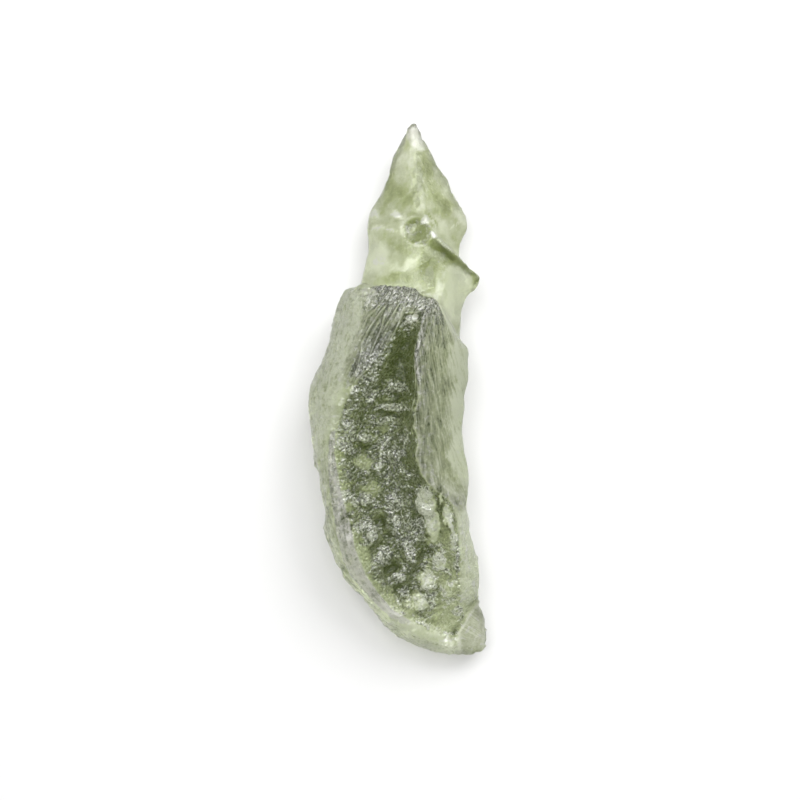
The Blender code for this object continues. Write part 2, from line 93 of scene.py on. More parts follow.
# The body's broken upper edge, as (x, y) points.
END_EDGE = [
    (-2.54, 7.37), (-1.57, 7.6), (-0.45, 7.74), (0.67, 7.6), (1.42, 7.3), (2.17, 6.92),
    (2.69, 6.32), (3.14, 5.35), (3.67, 4.08),
]
# Thin ridges that fan down from the broken end, as (x, y) points.
FLUTE_LINES = [
    [(-1.12, 5.72), (-1.42, 4.45), (-2.02, 3.1), (-2.32, 2.28)],
    [(-0.15, 4.9), (-0.52, 4.0), (-1.05, 3.1), (-1.65, 1.98)],
    [(0.9, 4.75), (0.37, 4.0), (-0.22, 3.4), (-1.12, 2.5)],
    [(-0.52, 7.2), (-0.9, 6.25), (-1.57, 5.57), (-2.54, 4.15)],
    [(-0.82, 7.07), (-1.72, 5.95), (-2.69, 5.05)],
    [(-0.07, 6.3), (-0.75, 5.2), (-1.12, 4.6)],
    [(-2.84, 3.4), (-2.99, 2.2), (-3.44, 0.7)],
    [(-1.8, 1.9), (-3.07, 0.93), (-3.6, 0.2)],
    [(0.37, 5.57), (1.65, 5.65), (2.02, 5.95)],
    [(-2.0, 5.8), (-2.46, 5.2), (-2.76, 4.6)],
]
# Lumps, and pits where the height is below zero: (x, y, two radii, turn in degrees, height).
LUMPS = [
    (-0.45, 0.26, 0.9, 0.46, 0, 0.38), (-0.15, -1.31, 1.2, 0.46, 0, 0.38),
    (-1.05, -2.28, 0.9, 0.42, 8, 0.34), (0.52, -2.88, 0.5, 0.38, 0, 0.26),
    (-2.54, -3.55, 0.75, 0.42, -15, 0.32), (-2.17, -0.93, 0.6, 0.42, 20, 0.26),
    (-0.45, -4.9, 0.6, 0.6, 0, 0.2), (-1.57, -5.9, 0.5, 0.75, 0, 0.2), (0.3, -6.0, 0.6, 0.7, 0, 0.2),
    (-0.8, -8.0, 0.65, 0.75, 0, 0.2), (-2.6, -8.2, 0.52, 0.48, 0, 0.34), (0.5, -9.2, 0.5, 1.2, 12, 0.2),
    (-2.1, -10.9, 0.55, 0.62, 0, 0.38), (-1.1, -10.2, 0.36, 0.42, 0, 0.26),
    (-1.57, -12.75, 0.62, 0.9, 15, 0.38), (1.75, -8.3, 0.7, 1.1, 14, 0.5), (2.25, -9.9, 0.6, 1.5, 14, 0.55),
    (3.5, -10.1, 0.4, 1.2, 6, 0.34), (0.75, -12.4, 0.5, 1.2, 35, 0.46), (-0.15, -13.8, 0.6, 0.36, 0, 0.26),
    (1.4, -15.75, 0.62, 0.85, 20, 0.38), (2.0, -14.5, 0.68, 0.6, 0, 0.32), (3.5, -14.8, 0.85, 0.75, 0, 0.3),
    (0.37, -16.6, 0.46, 0.32, 0, 0.2), (-3.67, -0.19, 0.65, 0.45, 10, 0.22),
    (-0.45, 12.8, 0.38, 0.36, 0, 0.26), (-1.57, -9.76, 0.42, 0.42, 0, -0.38),
    (-0.75, -13.3, 0.52, 0.46, 0, -0.42), (0.3, -14.85, 0.75, 0.4, 0, -0.36),
    (1.87, -12.15, 0.56, 0.3, 25, -0.42), (-0.5, -0.45, 0.62, 0.24, 0, -0.3),
    (-0.8, -1.76, 0.78, 0.26, -10, -0.3), (-2.1, -4.2, 0.6, 0.3, 10, -0.26),
    (0.9, 5.4, 0.6, 0.3, -20, -0.3),
]
# Ragged patches of the skin: (x, y, two radii, turn in degrees, how much paler, how much more silvery). A
# few are painted highlights: glints, and a bright notch.
PATCHES = [
    (0.1, 2.2, 0.9, 1.4, 0, -0.2, -0.8), (-0.45, 0.1, 0.85, 0.45, 0, 0.2, 0.9),
    (0.55, 1.75, 0.4, 0.14, -30, 0.3, 0.9), (-2.2, -0.2, 0.6, 0.6, 0, 0, 0.5),
    (-0.7, -1.3, 1.2, 0.32, 0, 0.2, 0.9), (-1.3, -1.72, 1.0, 0.18, 0, -0.2, -1.0),
    (0.1, -0.72, 0.8, 0.2, 5, -0.3, -1.0), (-1.2, -2.4, 0.65, 0.42, 0, 0.2, 0.8),
    (-1.4, -2.95, 0.6, 0.25, 0, 0.2, -0.8), (-2.6, -3.5, 0.6, 0.3, 10, 0.5, 0.9),
    (-2.6, -2.9, 0.45, 0.25, -25, -0.05, -1.0), (-3.0, -4.05, 0.6, 0.3, 0, -0.05, -1.0),
    (-2.8, -5.4, 0.75, 0.5, 0, 0.5, -0.2), (0.45, -2.45, 0.4, 0.3, 0, 0.1, -1.0),
    (0.5, -3.05, 0.15, 0.25, 0, 0.7, 0.9), (-0.6, -3.8, 1.0, 0.7, 0, -0.24, 0.3),
    (-1.6, -4.0, 0.35, 0.3, 0, 0.3, 0.8), (-0.45, -5.0, 1.0, 0.55, 0, -0.15, 0.5),
    (-0.15, -4.7, 0.4, 0.15, 0, 0.4, 0.9), (0.6, -5.35, 0.45, 0.5, 0, 0.1, -0.8),
    (-1.6, -5.65, 0.2, 0.6, -25, 0.4, 0.3), (-0.4, -6.4, 1.0, 0.65, 0, -0.02, 0.2),
    (-2.15, -7.35, 0.7, 0.65, 0, 0.34, -0.35), (-3.65, -4.3, 0.4, 0.35, 0, 0.1, 0.9),
    # (-4.5, -3.85) is a painted glint.
    (-4.5, -3.85, 0.22, 0.22, 0, 0.5, 0.9), (-4.6, -4.8, 0.3, 0.45, 0, 0, -1.0),
    (-4.55, -6.3, 0.3, 0.4, 0, -0.05, -1.0), (-4.1, -7.8, 0.25, 0.4, 0, 0.3, 0.9),
    (-2.6, -8.2, 0.6, 0.45, 0, 0.25, 0.9), (-1.8, -9.15, 0.5, 0.35, 0, 0.15, -1.0),
    (-1.65, -9.85, 0.36, 0.24, 0, -0.3, -1.0), (-2.4, -10.0, 0.55, 0.4, 0, 0.25, 0.9),
    (-2.2, -10.8, 0.42, 0.5, 0, 0.5, 1.0), (0.45, -7.5, 0.6, 0.5, 0, -0.3, 0.3),
    (-0.6, -8.5, 0.6, 0.6, 0, 0, 0.8), (-0.2, -8.3, 0.16, 0.9, 15, 0.6, 1.0),
    (0.25, -8.1, 0.13, 0.8, 15, -0.4, 0), (-0.35, -9.9, 0.15, 0.75, 20, 0.5, 1.0),
    (0.05, -10.0, 0.12, 0.7, 20, -0.35, 0), (0.5, -9.6, 0.6, 0.8, 0, -0.3, 0.1),
    (1.85, -8.3, 0.62, 1.2, 12, 1.1, 0.4), (2.3, -9.9, 0.5, 1.3, 14, 1.0, 0.2),
    (1.4, -7.9, 0.3, 0.8, 12, -0.1, 0.8), (2.62, -9.0, 0.1, 1.5, 8, 0.6, -0.5),
    (2.95, -8.6, 0.16, 1.5, 8, -0.3, -1.0), (1.7, -10.2, 0.16, 0.8, 20, -0.3, 0.5),
    (2.2, -10.95, 0.5, 0.5, 0, 0.35, -0.3), (2.95, -8.8, 0.25, 1.3, 0, -0.1, -1.0),
    # (2.95, -8.05) is a painted glint.
    (3.45, -9.3, 0.22, 0.8, 4, 0.9, 0.3), (2.95, -8.05, 0.1, 0.34, 0, 1.4, 0.3),
    (1.8, 12.6, 0.36, 0.24, -30, 0.6, 0.8), (3.8, -11.0, 0.3, 0.8, 5, 0.4, 0.3),
    (3.0, -10.7, 0.3, 0.6, 0, -0.05, -1.0), (-1.35, -12.2, 0.65, 0.65, 0, 0.3, 0.9),
    (-2.75, -12.5, 0.5, 1.0, 0, 0.22, -1.0), (-2.15, -11.9, 0.3, 0.15, 0, -0.35, -1.0),
    (-0.75, -13.35, 0.4, 0.38, 0, -0.45, -1.0), (-0.1, -13.95, 0.5, 0.3, 0, 0.5, 1.0),
    (0.65, -11.9, 0.38, 0.85, 25, 0.45, 1.0), (1.5, -12.3, 0.5, 0.2, 30, -0.4, -0.5),
    (1.95, -12.8, 0.35, 0.6, 0, 0.3, 0), (2.8, -12.75, 0.5, 0.65, 35, 0.6, 0.3),
    (2.0, -14.0, 0.6, 0.75, 0, 0.9, 0.2), (0.2, -15.0, 0.75, 0.35, 15, -0.35, 0),
    (1.2, -15.8, 0.75, 0.6, 0, 0.7, 0.3), (0.2, -16.7, 0.3, 0.18, 0, -0.35, 0.6),
    (3.2, -17.2, 1.1, 0.6, -40, 0, -1.0), (2.8, -18.5, 0.7, 0.12, -25, 0.8, 0.5),
    (3.6, -18.95, 0.5, 0.07, -35, 0.8, 0.6), (3.5, -14.7, 0.5, 0.5, 0, 0.2, 0),
    (4.15, -12.4, 0.16, 1.6, 0, -0.3, 0.1), (5.0, -13.2, 0.35, 0.35, 0, 0.3, 0.2),
    # (-2.35, 7.2) is a painted highlight in the notch of the broken end.
    (0.2, -17.5, 1.0, 0.4, -30, 0.15, -0.6), (-2.35, 7.2, 0.5, 0.22, -15, 2.0, -0.1),
    (-2.25, 6.5, 0.35, 0.5, 0, 0.6, 0.8), (-2.75, 4.9, 0.4, 0.4, 0, -0.2, -1.0),
    # Painted: the brightest glint at (1.1, 5.2), with a dark fleck beside it.
    (1.1, 5.2, 0.14, 0.28, 15, 2.4, 0.4), (1.35, 5.35, 0.12, 0.24, 0, -0.6, 0),
    (1.05, 6.1, 0.9, 0.35, 10, 0.2, 0.1), (0.4, 7.0, 0.3, 0.15, 0, 0.4, 0.9),
    (1.65, 2.35, 0.16, 0.55, 0, -0.35, -0.3), (1.7, 0.7, 0.18, 0.75, 3, -0.35, -0.3),
    (1.5, -1.7, 0.14, 0.65, 0, -0.35, -0.3), (1.95, 4.7, 0.14, 0.4, 0, -0.25, -0.3),
    (1.85, -2.9, 0.2, 0.5, 0, -0.25, -0.3), (2.35, 1.6, 0.1, 0.6, -5, -0.25, -0.3),
    (-3.6, -11.8, 0.3, 1.6, 12, 0.2, -1.0), (-1.1, -11.0, 0.6, 0.7, 0, 0.15, -0.7),
    (2.8, -14.8, 0.12, 0.6, 0, -0.3, -0.5), (-3.8, -9.3, 0.2, 0.28, 0, -0.7, -0.5),
    (-3.75, -10.2, 0.16, 0.22, 0, -0.7, -0.5), (-3.2, -12.6, 0.18, 0.18, 0, -0.7, -0.5),
    (-2.0, -13.8, 0.22, 0.18, 0, -0.7, -0.5), (0.9, -10.6, 0.9, 0.9, 0, -0.2, 0.25),
    (0.3, -8.9, 0.8, 0.8, 0, -0.2, 0.1), (-1.72, -8.56, 0.22, 0.2, 0, 0.4, 1.0),
    (-0.35, 13.0, 0.34, 0.42, 15, 0.6, 0.8), (-1.95, 13.2, 0.26, 0.28, 0, 0.4, 0.8),
    (-1.8, 12.05, 0.36, 0.1, 5, 0.6, 0.9), (-0.75, 11.95, 0.3, 0.08, 0, 0.5, 0.9),
    (1.4, 18.35, 0.32, 0.24, -35, 0.5, 0), (3.78, -10.6, 0.1, 1.0, 6, 0.9, 0.5),
    (3.56, -10.3, 0.07, 1.2, 6, -0.5, 0), (3.0, -11.9, 0.08, 0.6, 15, 0.7, 0.4),
    (1.6, -17.6, 0.9, 0.07, -40, 0.5, 0.5), (1.75, -17.8, 0.9, 0.08, -40, -0.4, 0),
    (2.55, 11.45, 0.14, 0.2, 30, 0.2, 1.0), (2.1, 12.5, 0.07, 0.75, 33, 0.5, 0.3),
    (2.3, 12.6, 0.1, 0.6, 33, -0.3, 0), (4.3, 12.5, 0.07, 0.6, -40, 0.4, 0),
    (3.9, 12.3, 0.07, 0.5, -40, 0.35, 0), (-1.6, 9.6, 0.5, 0.4, 20, 0.4, 0.5),
]
# Soft clouds in the glass: (x, y, two radii, turn in degrees, how much paler).
CLOUDS = [
    (0.8, 19.6, 0.5, 0.6, 0, 0.05), (1.25, 18.2, 0.42, 0.3, -20, 0.45), (0.4, 18.5, 0.35, 0.5, 0, -0.2),
    (1.4, 17.6, 0.3, 0.16, 0, -0.3), (1.95, 16.6, 0.25, 0.8, 20, -0.25), (0.15, 17.2, 0.6, 0.6, 0, 0.08),
    (-0.3, 14.7, 0.9, 0.8, 0, -0.25), (-1.0, 15.5, 0.3, 0.8, -15, -0.15), (2.2, 15.0, 0.5, 0.9, 15, -0.1),
    (1.2, 16.6, 0.35, 1.5, 5, -0.32), (1.5, 15.7, 0.3, 0.8, 0, -0.16), (1.1, 14.0, 0.3, 0.6, -20, -0.12),
    (1.7, 14.9, 0.1, 0.8, -35, 0.08), (1.0, 14.2, 0.1, 0.9, -35, 0.1), (1.2, 14.1, 0.12, 0.9, -35, -0.2),
    (0.7, 14.3, 0.13, 0.9, -35, -0.2), (1.35, 14.9, 0.3, 1.0, -20, -0.2), (-1.2, 13.7, 0.3, 0.7, -25, -0.2),
    (3.3, 13.5, 0.6, 0.8, 20, -0.35), (2.6, 14.3, 0.4, 0.4, 20, -0.15), (4.55, 12.9, 0.35, 1.0, 10, 0.3),
    (3.0, 12.2, 0.3, 0.9, 35, 0.25), (-2.0, 13.2, 0.35, 0.35, 0, 0.3), (-2.0, 12.1, 0.25, 0.15, 0, 0.3),
    (-1.3, 12.05, 0.6, 0.13, -5, 0.4), (2.55, 11.45, 0.16, 0.2, 0, 0.3), (2.1, 9.1, 0.95, 1.4, 5, -0.45),
    (3.2, 9.9, 0.6, 0.4, -35, -0.3), (-1.85, 9.9, 0.8, 1.3, 0, 0.5), (0.65, 9.4, 0.9, 0.16, 40, 0.5),
    (0.1, 9.1, 0.7, 0.2, 10, 0.4), (-0.1, 8.3, 1.5, 0.35, 0, -0.2), (0.6, 10.5, 0.5, 0.5, 0, -0.15),
    (-1.0, 10.9, 0.9, 0.5, 0, -0.15), (4.05, 8.4, 0.4, 0.75, 0, 0.35), (5.2, 8.6, 0.5, 0.12, -35, 0.3),
    (5.5, 7.4, 0.22, 0.8, -43, -0.3), (4.3, 6.9, 1.3, 1.7, 0, 0.55), (2.8, 7.6, 0.2, 0.9, 5, 0.25),
    (2.3, 7.9, 0.15, 0.8, 0, -0.2), (3.3, 7.6, 0.15, 0.9, 5, -0.2), (3.4, 2.4, 0.22, 0.6, 0, -0.25),
    (3.15, 3.4, 0.25, 0.5, 0, -0.2), (2.85, -2.4, 0.3, 0.55, 0, -0.25), (3.3, -4.4, 0.25, 0.9, 0, -0.22),
    (3.85, -4.55, 0.42, 0.7, 0, 0.25), (4.5, 1.6, 0.25, 0.4, 0, 0.25), (4.1, 2.7, 0.4, 0.5, 0, 0.2),
    (4.0, -0.9, 0.4, 0.7, 0, 0.2), (3.7, 0.5, 0.3, 0.5, 0, -0.2), (4.2, -2.9, 0.3, 0.5, 0, -0.12),
    (3.0, 0.3, 0.3, 0.8, 0, -0.1), (-3.7, 1.5, 0.35, 0.8, -15, -0.2), (-3.0, 6.0, 0.3, 1.2, -8, 0.2),
    (-4.6, -0.3, 0.6, 0.8, 0, 0.15), (-4.3, 1.6, 0.4, 0.8, 0, 0.15), (-5.7, -2.9, 0.4, 0.3, 0, 0.3),
    (-5.0, -3.0, 0.3, 0.4, 0, -0.2), (-5.6, -5.5, 0.2, 1.6, 5, -0.15), (-5.3, -9.0, 0.2, 1.0, 0, -0.3),
    (-5.4, -11.5, 0.25, 1.2, -15, -0.25), (-4.6, -13.5, 0.2, 1.2, -30, -0.3),
    (-2.6, -16.0, 0.15, 1.4, -45, -0.3), (-0.4, -18.0, 0.12, 1.2, -60, -0.2),
    (3.9, -17.2, 0.35, 0.9, 10, -0.12),
]
# The round bowl in the spire, with its sharp rim.
BOWL = (1.2, 11.75, 1.2, 1.05, -25)
# The hollow in the neck below the bowl.
NECK_HOLLOW = (2.1, 9.1, 1.2, 1.6, 10)
# The dark middle of the trough's floor, and its smoother upper part.
DARK_FLOOR = (0.2, -10.5, 1.9, 3.2, 0)
HEART = (0.1, 2.2, 1.2, 2.0, 0)
# The left edge of the smooth chip at the low corner, and the line between its two faces, as (y, x) pairs.
CHIP_EDGE = [(-19.6, 4.3), (-18.2, 4.2), (-17.0, 4.9), (-15.7, 5.8), (-15.2, 6.3)]
CHIP_FOLD = [(-19.6, 5.9), (-18.2, 6.0), (-16.0, 6.15)]
CHIP_SLANT = 0.85  # distance across the chip's slanting edge per millimetre of X
SPIRE_CREST_TOP = 12.1  # y above which the spire's crest has no sides
FACET_WIDTH = 3.6  # from the crest to the facet's right edge
FACET_FAN = 0.08  # how much the facet's lines spread per millimetre of Y
FAN_LEAN = (0.88, 0.48)  # cosine and sine of the turn of the flutes' fan
TIP_EASED = (13.2, 14.5, 18.6, 19.6)  # y where the spire's long easing starts, is full and ends
FAR = 9.0  # further than any line reaches
PIT_RADIUS = 0.55  # as a share of the pits' spacing
LUMP_STEEPNESS = 1.6
EASE_STEP = 0.8  # share of the way that one round of easing goes
BELLY_TILT = -0.1  # z of the normals of the coarser belly's first faces
FINE_SHARE = 0.3  # share in a sculpted zone that makes the mesh finer
TINY = 1e-9  # against division by zero
WELD = 0.0005 * MM
GRAIN_SIZE = 0.3 * MM
# Heights of the finest bumps, and roughness of clear skin, of satin skin and of the glaze.
PIT_BUMP, GRAIN_BUMP, GLITTER_BUMP = 0.12 * MM, 0.1 * MM, 0.08 * MM
CLEAR_ROUGHNESS, SATIN_ROUGHNESS, GLAZE_ROUGHNESS = 0.29, 0.5, 0.16

# Colours of the light tent: low down, on its walls as (height, colour), and straight above.
TENT_FLOOR = (1.6, 1.6, 1.6)
TENT_WALLS = [(0.34, (1.3, 1.3, 1.3)), (0.55, (0.25, 0.25, 0.25))]
TENT_TOP = (0.12, 0.12, 0.13)
# Each softbox: name, place and side in metres, and the setting that holds its power.
SOFTBOXES = [
    ("top_softbox", (-0.04, 0.09, 0.42), 0.26, "top"),
    ("key_softbox", (0.13, 0.20, 0.26), 0.2, "key"),
    ("back_softbox", (-0.10, 0.20, 0.33), 0.07, "fill"),
    ("side_softbox", (-0.20, -0.06, 0.33), 0.07, "fill"),
]
CAMERA_AIM = (0.067, -0.773, 2.5)  # in millimetres
NODE_GRID = (220, -260)


# ---- settings ----


def number(name, description, default, **more):
    """A setting that holds one number."""
    return bpy.props.FloatProperty(name=name, description=description, default=default, **more)


def small_length(name, description, default, **more):
    """A setting that holds a length under a millimetre."""
    return number(name, description, default, unit="LENGTH", precision=6, **more)


def rgb(name, description, default):
    """A setting that holds a colour."""
    return bpy.props.FloatVectorProperty(
        name=name, description=description, default=default, subtype="COLOR", min=0.0, max=1.0
    )


class MoldaviteSkinSettings(bpy.types.PropertyGroup):
    """The stone's fine skin."""

    grain: small_length(
        "Skin grain", "Spacing of the skin's points on the belly; finer on top", 0.31 * MM, min=0.2 * MM
    )
    pit_size: small_length("Pit size", "Width of the small pits", 0.42 * MM)
    pit_depth: small_length("Pit depth", "Depth of the small pits", 0.055 * MM)
    crinkle_height: small_length(
        "Crinkle height", "Height of the fine wrinkles on the trough's lumps", 0.07 * MM
    )
    scale_depth: small_length("Scale depth", "Depth of the cracks between the trough's scales", 0.24 * MM)
    flute_height: small_length("Flute height", "Height of the flutes below the broken end", 0.1 * MM)
    streak_height: small_length(
        "Streak height", "Height of the long streaks on the rim and the facet", 0.08 * MM
    )


class MoldaviteGlassSettings(bpy.types.PropertyGroup):
    """The glass."""

    colour: rgb("Skin colour", "Tint of the glass where light enters it", (0.42, 0.46, 0.27))
    # Creases reach the dark tint partly through painted shade, and ridges reach the pale tint partly through
    # painted highlights, by how the skin bends.
    dark_colour: rgb("Dark skin", "Tint in the deepest cracks", (0.03, 0.04, 0.012))
    pale_colour: rgb("Pale skin", "Tint on thin edges and worn ridges", (0.95, 0.985, 0.83))
    depth_colour: rgb("Depth colour", "Colour that the glass lets through", (0.55, 0.62, 0.26))
    depth_density: number("Depth density", "How fast the glass takes up light, per metre", 95.0, min=0.0)
    refraction: number("Refractive index", "Refractive index of tektite glass", 1.49, min=1.0, max=2.0)
    see_through: number(
        "Clearness", "Share of the light that passes through the skin",
        0.84, min=0.0, max=1.0, subtype="FACTOR"
    )
    glaze_index: number(
        "Glaze index", "Refractive index of the silvery fire-polished glaze", 1.65, min=1.0, max=2.5
    )
    # Multiplied into the skin's colour where it is grey: a painted lavender sheen on the rim, the flutes,
    # the facet and the chip.
    painted_sheen_colour: rgb("Glaze colour", "Tint of the silvery glaze", (0.9, 0.82, 1.0))
    speck_size: small_length("Speck size", "Width of the light and dark specks", 0.22 * MM)
    hair_size: small_length("Hair size", "Spacing of the hair lines", 0.17 * MM)
    # The light specks, all the more in the silver patches, are painted glints; the dark ones are etched
    # grain.
    speck_contrast: number("Speck contrast", "How far the specks are lighter or darker", 0.24, min=0.0)
    sparkle_contrast: number(
        "Sparkle contrast", "How much more so in the silver patches", 1.1, min=0.0
    )
    sparkle_size: small_length("Sparkle size", "Width of the finest etched pits", 0.2 * MM)


class MoldaviteStageSettings(bpy.types.PropertyGroup):
    """Table, light and camera."""

    table_size: number("Table size", "Side of the table", 2.0, unit="LENGTH")
    table_colour: rgb("Table colour", "Colour of the table", (0.45, 0.45, 0.446))
    table_glow: number("Table glow", "Light that comes up through the table", 0.22, min=0.0)
    sky: number("Sky light", "Brightness of the light tent", 0.6, min=0.0)
    top: number("Top light", "Power of the large softbox overhead", 1.45, unit="POWER", min=0.0)
    key: number("Key light", "Power of the softbox on the right", 1.36, unit="POWER", min=0.0)
    fill: number(
        "Fill light", "Power of each small softbox on the left", 0.17, unit="POWER", min=0.0
    )
    field: number("Field of view", "Width of the view at the stone", 59.8 * MM, unit="LENGTH", precision=5)
    lens: number("Lens", "Focal length in millimetres", 150.0, min=20.0)


# ---- shapes in numbers ----


def ramp(low, high, values):
    """0 below low, 1 above high, and a smooth slope between them."""
    t = np.clip((values - low) / (high - low), 0.0, 1.0)
    return t * t * (3 - 2 * t)


def hill(values, middle, width):
    """1 at the middle value, falling softly to 0 on both sides of it."""
    return np.exp(-(((values - middle) / width) ** 2))


def along(line, y):
    """x of a (y, x) line at each y."""
    ys, xs = np.array(line).T
    return np.interp(y, ys, xs)


def shifted(points, size, seed, ahead, over):
    """The points in units of this size, each seed in a place of its own in the noise."""
    scaled = points / np.array(size) + np.array((seed, ahead * seed, over * seed))
    return [Vector(p) for p in scaled]


def ripples(points, size, seed):
    """Smooth noise between -1 and 1 whose waves are this long, in millimetres, along X, Y and Z."""
    return np.array([noise.noise(p) for p in shifted(points, size, seed, 2.7, -1.3)])


def creases(points, size, seed):
    """1 on sharp creases of this spacing, in millimetres, and less between them."""
    return 1 - 2 * np.abs(ripples(points, size, seed))


def pitting(points, size, seed):
    """1 at the middle of each round pit and 0 on the walls between them."""
    near = np.array([noise.voronoi(p)[0][0] for p in shifted(points, size, seed, 1.9, 0.7)])
    return np.clip(1 - (near / PIT_RADIUS) ** 2, 0.0, 1.0)


def lumpy(points, size, seed):
    """Rounded lumps side by side: 1 on top of each and 0 in the sharp creases between them."""
    nearest = np.array([noise.voronoi(p)[0][:2] for p in shifted(points, size, seed, 1.7, 0.4)])
    return np.sqrt(np.clip((nearest[:, 1] - nearest[:, 0]) * LUMP_STEEPNESS, 0.0, 1.0))


def away_from(points, line):
    """Distance from a line of (x, y) points, seen from above."""
    x, y, _ = points.T
    away = np.full(len(x), FAR)
    for (ax, ay), (bx, by) in zip(line, line[1:]):
        length = (bx - ax) ** 2 + (by - ay) ** 2
        t = np.clip(((x - ax) * (bx - ax) + (y - ay) * (by - ay)) / length, 0.0, 1.0)
        away = np.minimum(away, np.hypot(x - ax - t * (bx - ax), y - ay - t * (by - ay)))
    return away


def oval(points, spot):
    """Squared distance from the middle of an oval spot, seen from above, 1 on its edge."""
    x, y, rx, ry, turn = spot[:5]
    x, y = points[:, 0] - x, points[:, 1] - y
    c, s = math.cos(math.radians(turn)), math.sin(math.radians(turn))
    return ((x * c + y * s) / rx) ** 2 + ((y * c - x * s) / ry) ** 2


def glow(points, spot):
    """1 in the middle of an oval spot, falling softly to 0 well outside it."""
    return np.exp(-oval(points, spot))


def dome(points, lump):
    """1 on top of an oval lump, falling to 0 at its edge, where it ends in a crease."""
    return np.clip(1 - oval(points, lump), 0.0, 1.0) ** 0.6


def read(items, field, width, kind=float):
    """A field of a mesh's points, edges or faces, in rows of this width."""
    values = np.empty(len(items) * width, kind)
    items.foreach_get(field, values)
    return values.reshape(-1, width)


class Skin:
    """Points, faces and edges of a mesh, in millimetres."""

    def __init__(self, mesh):
        mesh.calc_loop_triangles()
        self.points = read(mesh.vertices, "co", 3) / MM
        self.faces = read(mesh.loop_triangles, "vertices", 3, np.int64)
        edges = read(mesh.edges, "vertices", 2, np.int64)
        self.starts, self.ends = np.concatenate([edges, edges[:, ::-1]]).T

    def sums(self, index, values):
        """Adds up the values at each point."""
        count = len(self.points)
        if values.ndim == 1:
            return np.bincount(index, values, count)
        return np.column_stack([np.bincount(index, column, count) for column in values.T])

    def normals(self):
        """The way that the skin faces at each point."""
        a, b, c = (self.points[self.faces[:, k]] for k in range(3))
        facing = np.cross(b - a, c - a)
        total = sum(self.sums(self.faces[:, k], facing) for k in range(3))
        return total / np.maximum(np.linalg.norm(total, axis=1), TINY)[:, None]

    def steps(self, normals):
        """The steps along the edges, both ways, and how far each goes up along its first point's normal."""
        step = self.points[self.ends] - self.points[self.starts]
        return step, np.einsum("ij,ij->i", step, normals[self.starts])

    def ease(self, rounds, keep, where=1.0):
        """Smooths the facets away, but not folds whose height from point to point is over keep."""
        for _ in range(rounds):
            normals = self.normals()
            _, height = self.steps(normals)
            weight = hill(height, 0.0, keep)
            total = self.sums(self.starts, weight * height)
            share = np.maximum(self.sums(self.starts, weight), TINY)
            self.points += (EASE_STEP * where * total / share)[:, None] * normals

    def bend(self):
        """Curvature at each point in 1/mm: above 0 on ridges and below 0 in hollows."""
        step, height = self.steps(self.normals())
        spread = self.sums(self.starts, (step**2).sum(axis=1))
        return -self.sums(self.starts, height) / np.maximum(spread, TINY)


# ---- the stone ----


def zones(points, normals):
    """Each point's share from 0 to 1 in each zone of the skin, and how far right of the lines it lies.

    Left to right: flank, rim (dusty above), trough with its smooth heart, facet, low_right below it.
    Low to high: chip, the body's zones, flutes, end, then the thin skirt and spire with the bowl.
    """
    x, y, z = points.T
    tilt = normals[:, 2]
    up = ramp(0.1, 0.45, tilt)
    outer, inner, crest = along(RIM_OUTER, y), along(RIM_INNER, y), along(CREST, y)
    edge = np.interp(x, *np.array(END_EDGE).T)
    height = z + 2.0 * ramp(-9.0, -16.0, y) - 1.2 * ramp(5.5, 6.8, y)
    body = ramp(edge + 0.15, edge, y) * ramp(3.6, 4.4, height)
    trough = ramp(0.0, 0.15, tilt) * ramp(inner - 0.1, inner + 0.25, x)
    trough *= ramp(crest, crest - 0.15, x) * ramp(5.4, 4.2, y)
    rim = ramp(-0.1, 0.2, tilt) * ramp(outer - 0.06, outer + 0.06, x)
    rim *= ramp(inner + 0.06, inner - 0.06, x) * ramp(-2.2, -4.4, y) * ramp(-18.2, -16.2, y)
    dusty = up * ramp(outer - 0.3, outer + 1.2, x) * ramp(inner + 0.3, inner - 0.3, x)
    dusty *= ramp(-5.0, -3.6, y) * ramp(4.0, 2.0, y) * (1 - rim) * (1 - trough)
    flutes = up * ramp(outer - 0.9, outer + 0.8, x) * ramp(crest + 0.4, crest, x)
    flutes *= ramp(-0.5, 2.0, y) * (1 - trough) * body
    facet = ramp(crest - 0.1, crest + 0.1, x) * ramp(-0.1, 0.15, tilt) * body * ramp(-9.6, -8.2, y)
    end = ramp(edge - 1.9, edge - 0.9, y) * body * ramp(-3.4, -1.6, x) * ramp(3.4, 2.6, x)
    flank = body * ramp(outer + 0.2, outer - 0.3, x) * ramp(-0.4, 0.0, tilt)
    low_right = up * ramp(crest - 0.4, crest + 0.2, x) * ramp(-8.6, -9.8, y)
    side = ramp(0.55, 0.15, tilt) * (1 - trough) * (1 - end)
    in_chip = (x - along(CHIP_EDGE, y)) * CHIP_SLANT
    low = ramp(-15.3, -15.5, y)
    chip = ramp(-0.04, 0.08, in_chip) * low * ramp(-0.2, 0.1, tilt)
    # Painted on the chip: a highlight along its edge, shade just outside it, and sheen on its second face
    # beyond the fold.
    chip_edge = chip * (hill(in_chip, 0.1, 0.1) + 0.6 * ramp(-0.05, 0.1, x - along(CHIP_FOLD, y)))
    chip_edge -= up * low * (1 - chip) * hill(in_chip, -0.25, 0.2)
    return SimpleNamespace(
        up=up, side=side, belly=ramp(-0.2, -0.5, tilt), body=body, thin=ramp(edge, edge + 0.3, y),
        trough=trough * (1 - chip), heart=glow(points, HEART), dusty=dusty, flutes=flutes, end=end,
        rim=rim * (1 - chip), flank=flank * (1 - chip), low_right=low_right * (1 - chip),
        facet=facet, from_crest=np.clip((x - crest) / FACET_WIDTH, 0, 1), chip=chip,
        chip_edge=chip_edge, bowl=ramp(1.0, 0.8, np.sqrt(oval(points, BOWL))) * up,
        past_outer=x - outer, past_inner=x - inner, past_crest=x - crest,
        past_fan=FAN_LEAN[0] * x - FAN_LEAN[1] * y,
    )


